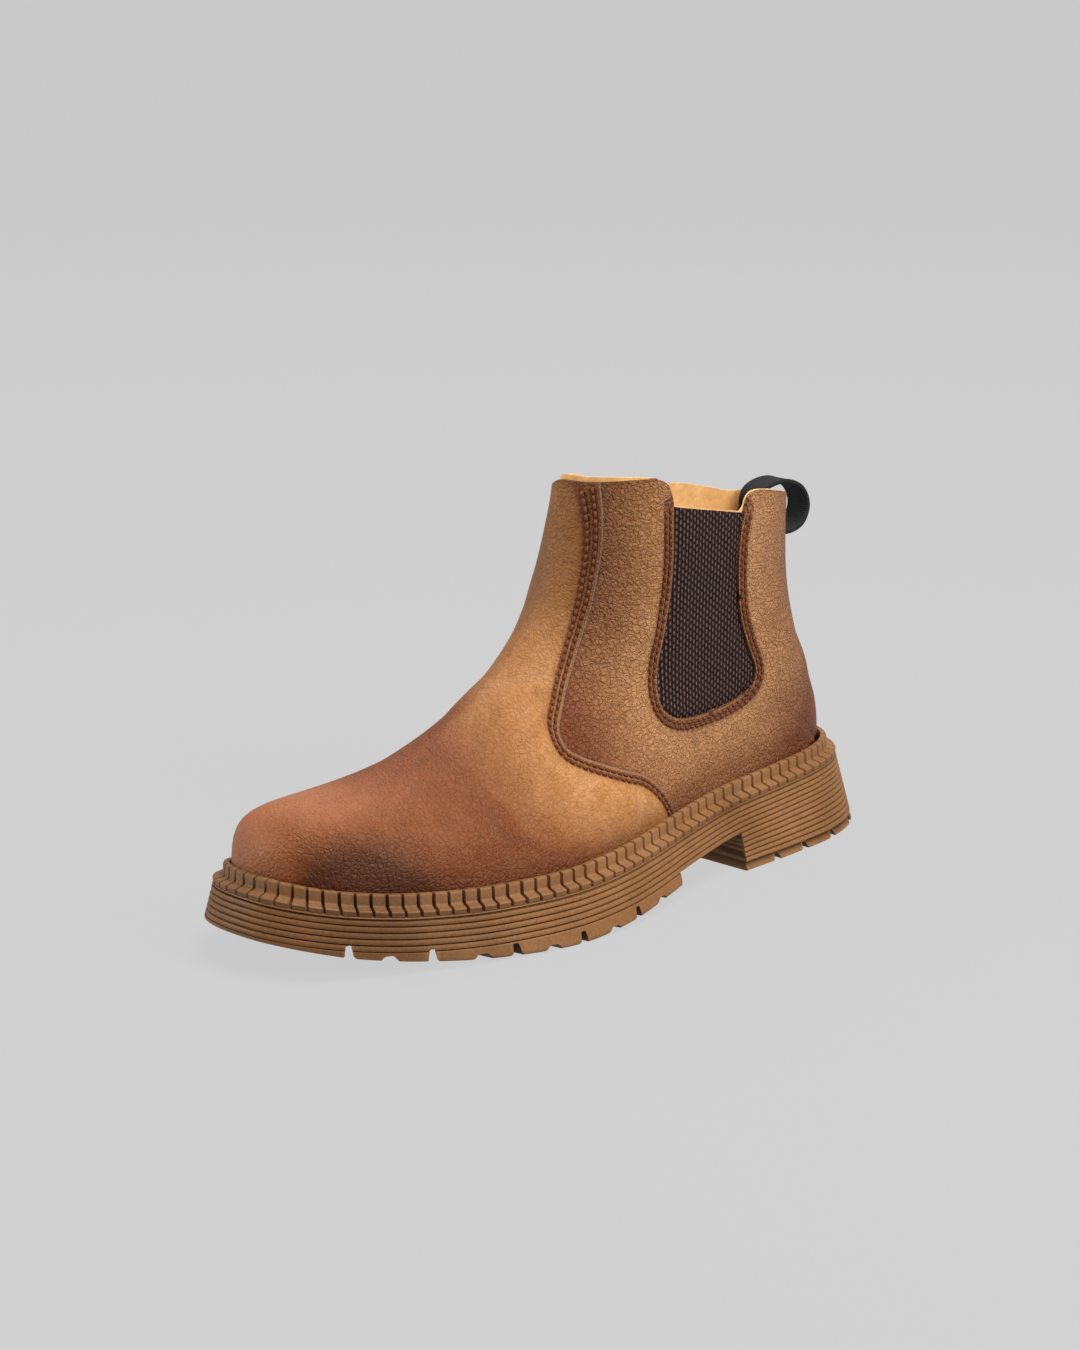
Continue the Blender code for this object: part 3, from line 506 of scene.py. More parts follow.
# the walls of the channels are the faces between new points only: they are painted dark, as shade in the
# channels
is_new = [place not in moulded for place in rounded_places(outsole)]
walls = [float(all(is_new[corner] for corner in face.vertices)) for face in outsole.data.polygons]
outsole.data.attributes.new("cut", "FLOAT", "FACE").data.foreach_set("value", walls)


def add(tree, kind, inputs=None, **settings):
    """A shader node with its settings, and its inputs as values or as sockets to link from."""
    node = tree.nodes.new("ShaderNode" + kind)
    for key, value in settings.items():
        setattr(node, key, value)
    for key, value in (inputs or {}).items():
        if isinstance(value, bpy.types.NodeSocket):
            tree.links.new(value, node.inputs[key])
        else:
            node.inputs[key].default_value = value
    return node


def attribute(tree, name):
    return add(tree, "Attribute", attribute_name=name).outputs["Fac"]


def noise(tree, vector, scale, detail, roughness=0.5, distortion=0.0):
    inputs = {"Vector": vector, "Scale": scale, "Detail": detail, "Roughness": roughness}
    return add(tree, "TexNoise", inputs | {"Distortion": distortion}).outputs["Fac"]


def figure(tree, operation, first, second=0.0, third=0.0, clamp=False):
    return add(tree, "Math", {0: first, 1: second, 2: third}, operation=operation, use_clamp=clamp).outputs[0]


def blend(tree, kind, factor, first, second):
    """Two colours mixed, each a colour or a socket."""
    node = add(tree, "Mix", data_type="RGBA", blend_type=kind)
    for index, value in ((0, factor), (6, first), (7, second)):
        if isinstance(value, bpy.types.NodeSocket):
            tree.links.new(value, node.inputs[index])
        else:
            node.inputs[index].default_value = value if index == 0 else (*value, 1.0)
    return node.outputs[2]


def ramp(tree, factor, *stops):
    """A colour ramp from (place, colour) stops."""
    node = add(tree, "ValToRGB", {"Fac": factor})
    elements = node.color_ramp.elements
    while len(elements) < len(stops):
        elements.new(0.5)
    for element, (place, colour) in zip(elements, stops):
        element.position = place
        element.color = (*colour, 1.0)
    return node.outputs["Color"]


def start_material(name, **settings):
    """A new material with its shader's settings, whose names are written with underscores."""
    made = bpy.data.materials.new(name)
    made.use_nodes = True
    tree = made.node_tree
    shader = tree.nodes["Principled BSDF"]
    set_inputs(shader, {key.replace("_", " "): value for key, value in settings.items()})
    return made, tree, shader, add(tree, "TexCoord").outputs["Object"]


def link_look(tree, shader, colour, height, strength, distance):
    """Links a colour and a bump to the shader."""
    tree.links.new(colour, shader.inputs["Base Color"])
    bump = add(tree, "Bump", {"Height": height, "Strength": strength, "Distance": distance})
    tree.links.new(bump.outputs["Normal"], shader.inputs["Normal"])


def rubber_material(name, dark, light):
    """Tan rubber straight from the mould: matt, with painted shade in its grooves, channels and slots and
    towards the toe front, and faint flow marks.
    """
    made, tree, shader, coords = start_material(
        name, Specular_IOR_Level=0.30, Specular_Tint=(1.0, 0.80, 0.60, 1.0))
    groove = figure(tree, "MAXIMUM", attribute(tree, "groove"), attribute(tree, "cut"))
    patches = noise(tree, coords, 34.0, 5.0, 0.6)
    specks = noise(tree, coords, 900.0, 3.0)
    colour = ramp(tree, patches, (0.30, dark), (0.72, light))
    tint = ramp(tree, specks, (0.35, (0.82, 0.81, 0.80)), (0.7, (1.08, 1.08, 1.08)))
    mixed = blend(tree, "MULTIPLY", 1.0, colour, tint)
    # painted shade: darker by the groove and cut marks
    deep = blend(tree, "MULTIPLY", groove, mixed, (0.20, 0.14, 0.10))
    rough = add(tree, "MapRange", {"Value": patches, "To Min": 0.46, "To Max": 0.62})
    tree.links.new(rough.outputs["Result"], shader.inputs["Roughness"])
    link_look(tree, shader, deep, specks, 0.25, 0.0002)
    return made


sole_rubber = rubber_material("sole_rubber", (0.165, 0.071, 0.023), (0.250, 0.116, 0.042))
outsole.data.materials.append(sole_rubber)
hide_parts("outsole")
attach(outsole, "root")

# Welt: a moulded strip of the same rubber round the upper's foot. Its outside is a row of stepped teeth, a
# lower riser, a sloping ledge and an upper riser, with slots between them darkened by painted shade, and a
# smooth lip underneath.
UPPER_INSET = 0.0063
WELT_RISE = 0.0084
TOOTH_PITCH = 0.0060
TOOTH_SHARE = 0.83
TOOTH_ROUND = 0.0002
TOOTH_SHRINK = 0.0003  # how much smaller a tooth's rounded ends are
TOOTH_WANDER = 0.00008
# outset from the welt's edge and height above the sole, round one tooth from its foot to its inner top
TOOTH = (
    (-0.0004, 0.0009), (0.0000, 0.0012), (0.0002, 0.0028), (-0.0001, 0.0032), (-0.0006, 0.0034),
    (-0.0030, 0.0039), (-0.0034, 0.0042), (-0.0036, 0.0047), (-0.0037, 0.0078), (-0.0040, 0.0083),
    (-0.0045, 0.0085), (-0.0060, 0.0084),
)
# and the same for the strip behind the teeth, which shows in the slots between them
STRIP = (
    (0.0001, 0.0003), (0.0003, 0.0006), (0.0001, 0.0010), (-0.0014, 0.0012), (-0.0019, 0.0017),
    (-0.0038, 0.0025), (-0.0049, 0.0034), (-0.0052, 0.0070), (-0.0054, 0.0077), (-0.0057, 0.0083),
    (-0.0059, 0.0083),
)

welt_edge = welt_loop()
welt_ring = np.vstack([welt_edge, welt_edge[:1]])
welt_out = welt_loop(1.0) - welt_edge
welt_out = np.vstack([welt_out, welt_out[:1]])
welt_runs = np.concatenate([[0], np.cumsum(np.linalg.norm(np.diff(welt_ring, axis=0), axis=1))])
welt_length = float(welt_runs[-1])
tooth_count = round(welt_length / TOOTH_PITCH)
tooth_pitch = welt_length / tooth_count


def welt_section(run, chain, shrink=0.0):
    """The chain's points at one length along the welt, drawn in by shrink."""
    run = run % welt_length
    place = np.array([np.interp(run, welt_runs, welt_ring[:, j]) for j in (0, 1)])
    out = np.array([np.interp(run, welt_runs, welt_out[:, j]) for j in (0, 1)])
    out /= np.linalg.norm(out)
    base = float(seat(place[0]))
    return [(*(place + (outset - shrink) * out), base + height - 0.5 * shrink) for outset, height in chain]


welt_points, welt_faces = [], []
WELT_INNER = -UPPER_INSET + GAP  # outset of the welt's inner side
tooth_chain = list(TOOTH) + [(WELT_INNER, WELT_RISE - 0.0002), (WELT_INNER, 0.0006)]
for tooth in range(tooth_count):
    start = tooth * tooth_pitch
    end = start + TOOTH_SHARE * tooth_pitch
    # each tooth differs a hair from the next, as moulded rubber does
    lean = TOOTH_WANDER * math.sin(2.1 * tooth)
    ends = ((start, TOOTH_SHRINK), (start + TOOTH_ROUND, 0.0), (end - TOOTH_ROUND, 0.0), (end, TOOTH_SHRINK))
    rings = [welt_section(run + lean, tooth_chain, shrink) for run, shrink in ends]
    add_tube(welt_points, welt_faces, rings)
strip_chain = list(STRIP) + [(WELT_INNER, 0.0080), (WELT_INNER, 0.0003)]
strip_first, strip_size, strip_runs = len(welt_points), len(strip_chain), 3 * tooth_count
for step in range(strip_runs):
    welt_points += welt_section(step * welt_length / strip_runs, strip_chain)
for step in range(strip_runs):
    for j in range(strip_size):
        a = strip_first + step * strip_size
        b = strip_first + (step + 1) % strip_runs * strip_size
        welt_faces.append([a + j, b + j, b + (j + 1) % strip_size, a + (j + 1) % strip_size])
# painted shade: the teeth darken towards the toe front, and the strip's points, from its lip to its inner
# side, are dark where they lie in the slots
WELT_TOE_SHADE = 0.42
slot_shade = WELT_TOE_SHADE * np.exp(-(((np.array(welt_points)[:, 0] / LENGTH - TOE_SHADE_PLACE) / 0.10) ** 2))
slot_shade[strip_first:] = np.tile([0.0, 0.0, 0.3] + 5 * [1.0] + [0.5] + 4 * [0.25], strip_runs)
welt = new_piece("toothed_welt", welt_points, welt_faces, {"groove": slot_shade}, merge=1e-7)
face_outwards(welt)
apply_modifiers(welt, 40)
welt_rubber = rubber_material("welt_rubber", (0.150, 0.064, 0.022), (0.235, 0.108, 0.041))
welt.data.materials.append(welt_rubber)
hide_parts("welt")
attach(welt, "root")

# Upper: oiled tan leather drawn over the last. The vamp runs up to the collar's front and laps over the
# quarters, which are cut out for the gores and carry on round the heel. A suede lining lies inside.
COLLAR_HEIGHT = 0.158
WALL = 0.0029
VAMP_STEP = 0.0011
FEATHER = 0.0088
FEATHER_BLEND = 0.030
BACK_ROUND = 0.034
BACK_POWER = 2.2
UPPER_LENGTH = LENGTH - 2 * UPPER_INSET
SIDE_COLUMNS = 61
ROWS_PER_RING = 10
MEET = 1e-9  # lengths that differ by less are the same

# The upper's rings, toe to collar. Each lies in a plane from a point on the ridge to one on the feather
# line or, from heel height on, on the back seam. Along is a share of UPPER_LENGTH from the heel back, the
# heights and crown are shares of COLLAR_HEIGHT and the widths of HALF_BALL.
Ring = namedtuple(
    "Ring", "ridge_along ridge_height base_along base_rise lateral medial ridge_side crown power")
RINGS = (
    Ring(1.0000, 0.253, 1.0000, 0.000, 0.000, 0.000, -0.155, 0.090, 2.3),
    Ring(0.9972, 0.276, 0.9965, 0.000, 0.150, 0.270, -0.155, 0.105, 2.3),
    Ring(0.9885, 0.306, 0.9860, 0.000, 0.260, 0.475, -0.155, 0.130, 2.3),
    Ring(0.9700, 0.341, 0.9650, 0.000, 0.380, 0.650, -0.155, 0.160, 2.3),
    Ring(0.9380, 0.361, 0.9300, 0.000, 0.510, 0.735, -0.153, 0.190, 2.2),
    Ring(0.8930, 0.368, 0.8820, 0.000, 0.640, 0.805, -0.145, 0.215, 2.1),
    Ring(0.8420, 0.378, 0.8250, 0.000, 0.760, 0.820, -0.135, 0.245, 2.0),
    Ring(0.7900, 0.395, 0.7640, 0.000, 0.845, 0.815, -0.122, 0.285, 1.90),
    Ring(0.7370, 0.420, 0.6960, 0.000, 0.890, 0.795, -0.110, 0.330, 1.80),
    Ring(0.6880, 0.456, 0.6200, 0.000, 0.905, 0.765, -0.103, 0.370, 1.75),
    Ring(0.6460, 0.502, 0.5360, 0.000, 0.880, 0.725, -0.096, 0.410, 1.75),
    Ring(0.6110, 0.547, 0.4450, 0.000, 0.805, 0.685, -0.088, 0.450, 1.75),
    Ring(0.5830, 0.584, 0.3510, 0.000, 0.730, 0.650, -0.080, 0.470, 1.78),
    Ring(0.5610, 0.619, 0.2570, 0.000, 0.675, 0.630, -0.073, 0.460, 1.82),
    Ring(0.5440, 0.652, 0.1660, 0.000, 0.640, 0.615, -0.065, 0.435, 1.86),
    Ring(0.5320, 0.682, 0.0890, 0.000, 0.618, 0.605, -0.057, 0.405, 1.90),
    Ring(0.5240, 0.708, 0.0340, 0.000, 0.606, 0.597, -0.050, 0.375, 1.90),
    Ring(0.5195, 0.727, 0.0090, 0.000, 0.600, 0.592, -0.045, 0.355, 1.90),
    Ring(0.5165, 0.742, 0.0000, 0.000, 0.597, 0.588, -0.041, 0.345, 1.90),
    Ring(0.5130, 0.763, 0.0000, 0.070, 0.592, 0.575, -0.035, 0.332, 1.90),
    Ring(0.5070, 0.801, 0.0190, 0.185, 0.586, 0.545, -0.025, 0.318, 1.92),
    Ring(0.5010, 0.851, 0.0510, 0.310, 0.580, 0.500, -0.013, 0.307, 2.00),
    Ring(0.4960, 0.908, 0.0830, 0.437, 0.583, 0.450, -0.004, 0.303, 2.08),
    Ring(0.4910, 0.968, 0.0950, 0.582, 0.588, 0.400, 0.000, 0.303, 2.14),
    Ring(0.4880, 1.050, 0.0935, 0.772, 0.596, 0.370, 0.000, 0.303, 2.20),
)

# Lines seen from the side: shares of UPPER_LENGTH from the heel back and of COLLAR_HEIGHT
VAMP_SEAM = (
    (0.4755, 1.100), (0.4725, 0.911), (0.4780, 0.790), (0.4930, 0.680), (0.5170, 0.588),
    (0.5520, 0.494), (0.5745, 0.437), (0.5740, 0.405), (0.5560, 0.380), (0.4930, 0.329),
    (0.4580, 0.304), (0.4300, 0.260), (0.4030, 0.185), (0.3850, 0.100),
)
QUARTER_RIM = (
    (0.5600, 1.000), (0.4850, 1.001), (0.4200, 1.004), (0.4020, 1.000), (0.3900, 0.985), (0.3835, 0.955),
)
GORE_FRONT = (
    (0.3810, 0.930), (0.3810, 0.750), (0.3920, 0.620), (0.4020, 0.540), (0.4040, 0.480), (0.3960, 0.435),
    (0.3740, 0.408),
)
GORE_FOOT = ((0.3380, 0.398), (0.2900, 0.400), (0.2450, 0.413))
GORE_REAR = (
    (0.2180, 0.435), (0.2120, 0.470), (0.2290, 0.540), (0.2460, 0.620), (0.2540, 0.720), (0.2530, 0.820),
    (0.2450, 0.885),
)
TAB_RIM = (
    (0.2420, 0.905), (0.2340, 0.922), (0.2180, 0.927), (0.1500, 0.902), (0.1200, 0.886), (0.0900, 0.868),
    (0.0400, 0.852),
)
GORE_TOP = ((0.4200, 0.946), (0.2000, 0.862))


def ring_rows():
    """The ring table in metres, with rows in between."""
    unit = 2 * [UPPER_LENGTH, COLLAR_HEIGHT] + 3 * [HALF_BALL] + [COLLAR_HEIGHT, 1.0]
    table = np.array(RINGS) * unit
    table[:, [0, 2]] += UPPER_INSET
    index = np.arange(len(table))
    at = np.linspace(0, len(table) - 1, ROWS_PER_RING * (len(table) - 1) + 1)
    return np.column_stack([smooth_curve(index, column, at) for column in table.T])


def back_seam(z):
    """How far forward the back of the upper is at height z."""
    rings = [ring for ring in RINGS if ring.base_rise > 0]
    foot = float(seat(UPPER_INSET))
    heights = [0, foot] + [foot + ring.base_rise * COLLAR_HEIGHT for ring in rings]
    forward = [0, 0] + [ring.base_along * UPPER_LENGTH for ring in rings]
    return UPPER_INSET + smooth_curve(heights, forward, z)


def form():
    """Points [row, column] of the last's surface, lateral edge to ridge to medial edge."""
    chains = side_chains(welt_loop(-UPPER_INSET))
    share = np.linspace(0, 1, SIDE_COLUMNS)
    rows = []
    for ridge_x, ridge_z, base_x, rise, lateral, medial, ridge_y, crown, power in ring_rows():
        base_z = float(seat(base_x)) + GAP + rise
        in_foot = smooth_step(UPPER_INSET, 0.5 * LENGTH, base_x) * (rise < GAP)
        crowded_back = 1 - np.cos(share * math.pi / 2)
        crowded_ends = (1 - np.cos(share * math.pi)) / 2
        along = in_foot * crowded_back + (1 - in_foot) * crowded_ends
        if rise < MERGE:
            along *= (1 - FEATHER / (ridge_z - base_z)) / along[-2]
            along[-1] = 1
        x = ridge_x + (base_x - ridge_x) * along
        z = ridge_z + (base_z - ridge_z) * along
        over_ridge = rounding(along * math.hypot(base_x - ridge_x, base_z - ridge_z) / crown, power)
        seam = back_seam(z)
        round_back = rounding((x - seam) / BACK_ROUND, BACK_POWER)
        free = smooth_step(FEATHER, FEATHER + FEATHER_BLEND, z - seat(x))
        plan_x = x - (seam - UPPER_INSET) * (1 - smooth_step(0.07 * LENGTH, 0.27 * LENGTH, x))
        closed = ridge_x == base_x or base_x <= UPPER_INSET + MEET or rise > 0
        ring = []
        for width, chain, sign in ((lateral, chains[0], 1), (medial, chains[1], -1)):
            plan = np.interp(plan_x, chain[:, 0], sign * chain[:, 1]) - sign * ridge_y
            half = ((1 - free) * plan + free * width * round_back) * over_ridge
            half = np.maximum(half, 0)
            if ridge_x == base_x:
                half[:] = 0
            if closed:
                half[-1] = 0
            ring.append(np.column_stack([x, ridge_y + sign * half, z]))
        rows.append(np.vstack([ring[0][::-1], ring[1][1:]]))
    points = np.array(rows)
    on_sole = ring_rows()[:, 3] < MERGE
    for end in (0, -1):
        points[on_sole, end, 2] = seat(points[on_sole, end, 0]) + GAP
    return points


def form_normals(points):
    """Outward normals. Where the two sides meet, at the toe tip and the back seam, they share one."""
    normals = np.cross(np.gradient(points, axis=0), np.gradient(points, axis=1))
    normals[0] = normals[1]
    meets = np.linalg.norm(points - points[:, ::-1], axis=2) < MERGE
    normals = np.where(meets[..., None], normals + normals[:, ::-1], normals)
    return normals / np.linalg.norm(normals, axis=2)[..., None]


def side_points(marks):
    """Marks of a side-view line as (x, z) points in metres."""
    return [(UPPER_INSET + along * UPPER_LENGTH, height * COLLAR_HEIGHT) for along, height in marks]


def relax_rows(points):
    """Evens out the small waves that are left between the rings, but not at the toe tip."""
    hold = np.clip((np.arange(len(points)) - 4) / 10.0, 0, 1)[:, None, None]
    closed = np.linalg.norm(points[:, 0] - points[:, -1], axis=1) < MERGE
    for _ in range(30):
        even = points.copy()
        even[1:-1] = 0.25 * points[:-2] + 0.5 * points[1:-1] + 0.25 * points[2:]
        points = points + hold * (even - points)
    points[closed, 0] = points[closed, -1]
    return points


# Creases of wear seen from the side: where each starts and ends as shares of LENGTH along and COLLAR_HEIGHT
# up, how deep its trough is (a ridge is below zero) and its half width as shares of LENGTH
Crease = namedtuple("Crease", "start end depth reach")
CREASES = (
    Crease((0.900, 0.270), (0.745, 0.345), 0.0034, 0.028),
    Crease((0.850, 0.205), (0.700, 0.270), -0.0018, 0.020),
    Crease((0.680, 0.300), (0.640, 0.430), 0.0026, 0.018),
    Crease((0.640, 0.290), (0.600, 0.440), -0.0020, 0.016),
    Crease((0.590, 0.560), (0.560, 0.740), 0.0024, 0.020),
    Crease((0.520, 0.420), (0.440, 0.620), -0.0030, 0.024),
    Crease((0.440, 0.290), (0.330, 0.330), 0.0026, 0.022),
    Crease((0.200, 0.330), (0.080, 0.390), 0.0022, 0.022),
    Crease((0.110, 0.520), (0.060, 0.640), 0.0018, 0.020),
)


def creased(points, normals):
    """The surface with the creases pressed in along its normals."""
    flat = points[..., [0, 2]]
    sunk = np.zeros(points.shape[:2])
    for crease in CREASES:
        start = np.array(crease.start) * (LENGTH, COLLAR_HEIGHT)
        run = np.array(crease.end) * (LENGTH, COLLAR_HEIGHT) - start
        share = np.clip(((flat - start) @ run) / (run @ run), 0, 1)
        off = np.linalg.norm(flat - start - share[..., None] * run, axis=2)
        sunk += crease.depth * LENGTH * np.exp(-((off / (crease.reach * LENGTH)) ** 2))
    return points - sunk[..., None] * normals


last_surface = relax_rows(form())
last_surface = creased(last_surface, form_normals(last_surface))
last_normals = form_normals(last_surface)


def from_line(points, line, closed_area):
    """Distance of (x, z) points from a side-view line, positive inside the closed area."""
    points = np.asarray(points, float)
    line = np.asarray(line, float)
    best = np.full(len(points), np.inf)
    for a, b in zip(line[:-1], line[1:]):
        run = b - a
        share = np.clip(((points - a) @ run) / (run @ run), 0, 1)
        best = np.minimum(best, np.linalg.norm(points - a - share[:, None] * run, axis=1))
    inside = np.zeros(len(points), bool)
    for a, b in zip(closed_area, np.roll(closed_area, -1, axis=0)):
        crosses = (a[1] > points[:, 1]) != (b[1] > points[:, 1])
        with np.errstate(divide="ignore", invalid="ignore"):
            at = a[0] + (points[:, 1] - a[1]) * (b[0] - a[0]) / (b[1] - a[1])
        inside ^= crosses & (points[:, 0] < at)
    return np.where(inside, best, -best)


seam_line = curve_through(side_points(VAMP_SEAM), 8)
FAR = 2 * LENGTH
seam_area = np.vstack([seam_line, [(FAR, seam_line[-1, 1]), (FAR, 0.32), (seam_line[0, 0], 0.32)]])
gore_line = curve_through(side_points(GORE_FRONT + GORE_FOOT + GORE_REAR), 8)
quarter_rim = curve_through(side_points(QUARTER_RIM), 6)
tab_rim = curve_through(side_points(TAB_RIM), 6)
rim_ahead = [(FAR, quarter_rim[0, 1])]
rim_behind = [(-LENGTH, tab_rim[-1, 1])]
SKY = 0.4
sky_ends = [(-LENGTH, SKY), (FAR, SKY)]
rim_line = np.vstack([rim_ahead, quarter_rim, gore_line, tab_rim, rim_behind])
above_area = np.vstack([rim_line, sky_ends])
gore_area = np.vstack([gore_line, [(gore_line[-1, 0], SKY), (gore_line[0, 0], SKY)]])


SEAM_BACK = 0.0120
RIM_DROP = 0.0042


def seam_back(x):
    """How much further back the inner side's front seam lies than the outer side's."""
    return SEAM_BACK * smooth_step(0.40 * LENGTH, 0.46 * LENGTH, x)


def side_view(points):
    """Points seen from the side. The inner side's rim sits a little lower and its front seam further back,
    so they are read as if higher and further forward."""
    inner = smooth_step(0.0, 0.012, -points[:, 1])
    drop = RIM_DROP * inner * smooth_step(0.105, 0.138, points[:, 2])
    back = inner * seam_back(points[:, 0])
    return np.column_stack([points[:, 0] + back, points[:, 2] + drop])


def ahead_of_seam(xz):
    return from_line(xz, seam_line, seam_area)


def under_rim(xz):
    return -from_line(xz, rim_line, above_area)


def in_gore(xz):
    return from_line(xz, gore_line, gore_area)


LEAST_SLOPE = 0.05


def cut_from_last(depth, inside):
    """The part of the last's surface, sunk by depth, where inside() is positive, its border drawn smooth.

    Depth is a number or a function of the points. It returns the points, distances from the border and
    faces of that part."""
    count_rows, count_columns = last_surface.shape[:2]
    sunk = depth(last_surface)[..., None] if callable(depth) else depth
    flat = (last_surface - sunk * last_normals).reshape(-1, 3)
    directions = last_normals.reshape(-1, 3)
    table = inside(side_view(flat)).reshape(count_rows, count_columns)
    middle = (table[:-1, :-1] + table[1:, :-1] + table[:-1, 1:] + table[1:, 1:]) / 4
    keep = middle > 0
    used = np.zeros((count_rows, count_columns), bool)
    beside = np.zeros((count_rows, count_columns), bool)
    for i in (0, 1):
        for j in (0, 1):
            shifted = (slice(i, count_rows - 1 + i), slice(j, count_columns - 1 + j))
            used[shifted] |= keep
            beside[shifted] |= ~keep
    border = np.flatnonzero((used & beside).ravel())
    step = 0.00005
    furthest = 0.0025  # in one move
    for _ in range(4):
        here = flat[border]
        at = inside(side_view(here))
        slope_x = (inside(side_view(here + [step, 0, 0])) - at) / step
        slope_z = (inside(side_view(here + [0, 0, step])) - at) / step
        slope = np.column_stack([slope_x, np.zeros(len(border)), slope_z])
        normal = directions[border]
        slope -= (slope * normal).sum(axis=1)[:, None] * normal
        size = np.maximum((slope * slope).sum(axis=1), LEAST_SLOPE)
        move = -np.clip(at, -furthest, furthest)[:, None] * slope / size[:, None]
        flat[border] += move
    faces = []
    for i, j in np.argwhere(keep):
        a = i * count_columns + j
        faces.append((a, a + count_columns, a + count_columns + 1, a + 1))
    return flat, inside(side_view(flat)), faces


def thicken(piece, thickness, offset, edge_round, segments):
    """Gives a sheet its thickness to one side, and rounds its edges."""
    solid = piece.modifiers.new("thickness", "SOLIDIFY")
    solid.thickness = thickness
    solid.offset = offset
    solid.use_even_offset = False
    if edge_round:
        soften = piece.modifiers.new("edge", "BEVEL")
        soften.width = edge_round
        soften.segments = segments
        soften.limit_method = "ANGLE"
        soften.angle_limit = math.radians(55)
    apply_modifiers(piece, 50)


def spot(value, centre, reach):
    return ((value - centre) / reach) ** 2


def burnish_and_painted_light(points):
    """How dark the leather is, by place: rubbed darker with painted shade round the toe's lower outer side,
    darker along its foot, and with painted shade on the shaft's front and the instep. Below zero it is pale,
    with painted highlights on the toe's top, its tip and its inner front side.
    """
    above = points[:, 2] - seat(points[:, 0])
    along = points[:, 0] / LENGTH
    # rubbed darker round the toe's lower outer side, with painted shade there too
    toe = np.exp(-spot(along, 0.895, 0.068) - spot(above, 0.011, 0.020))
    toe *= smooth_step(-0.006, 0.014, points[:, 1])
    toe *= 1 - smooth_step(0.965, 0.99, along)
    # darker along the foot, by the welt
    foot_band = np.exp(-spot(above, WELT_RISE, 0.007))
    # painted shade on the shaft's front and the instep
    shaft = smooth_step(0.075, 0.120, points[:, 2]) * smooth_step(0.36, 0.48, along)
    instep = smooth_step(0.045, 0.075, points[:, 2]) * smooth_step(0.40, 0.55, along)
    # painted highlights on the toe's top, its tip and its inner front side
    pale_toe = np.exp(-spot(along, 0.91, 0.080) - spot(above, 0.045, 0.015))
    pale_tip = smooth_step(0.945, 0.99, along) * smooth_step(0.004, 0.012, above)
    pale_inner = (1 - smooth_step(-0.024, -0.002, points[:, 1])) * smooth_step(0.82, 0.92, along)
    dark = 1.5 * toe + 0.45 * foot_band + 0.50 * shaft + 0.15 * instep
    return dark - 1.5 * pale_toe - 1.3 * pale_tip - 0.9 * pale_inner


def leather_piece(name, depth, thickness, inside, edge_round, seam_distance=None):
    points, distance, faces = cut_from_last(depth, inside)
    attributes = {"edge_distance": distance * 1000, "burnish_shade_and_highlight": burnish_and_painted_light(points)}
    if seam_distance is not None:
        attributes["seam_distance"] = seam_distance(side_view(points)) * 1000
    piece = new_piece(name, points, faces, attributes)
    thicken(piece, thickness, -1.0, edge_round, 3)
    return piece


def quarter_depth(points):
    """The quarters lie a vamp's thickness lower, and come out to the welt at their foot."""
    above = points[..., 2] - seat(points[..., 0])
    seam = ahead_of_seam(side_view(points.reshape(-1, 3))).reshape(points.shape[:2])
    out = (1 - smooth_step(WELT_RISE - 0.001, WELT_RISE + 0.004, above)) * smooth_step(0.0, 0.004, -seam)
    return VAMP_STEP * (1 - 0.85 * out)


def vamp_inside(xz):
    return np.minimum(ahead_of_seam(xz), under_rim(xz))


def quarter_inside(xz):
    return np.minimum(0.0008 - ahead_of_seam(xz), under_rim(xz))


VAMP_THICKNESS = 0.0022
QUARTER_THICKNESS = 0.0013
CUT_ROUND = 0.0004
vamp = leather_piece("vamp", 0.0, VAMP_THICKNESS, vamp_inside, CUT_ROUND, ahead_of_seam)
quarters = leather_piece(
    "quarters", quarter_depth, QUARTER_THICKNESS, quarter_inside, CUT_ROUND, lambda xz: -in_gore(xz))


def over_seam(tree, seam, first, last, stops):
    """A curve of the distance from a seam, from 0 to 8 mm beside it."""
    node = add(tree, "FloatCurve", {"Value": figure(tree, "MULTIPLY", seam, 0.125)})
    curve = node.mapping.curves[0]
    for place, height in stops:
        curve.points.new(place, height)
    curve.points[0].location = (0.0, first)
    curve.points[-1].location = (1.0, last)
    node.mapping.update()
    return node.outputs["Value"]


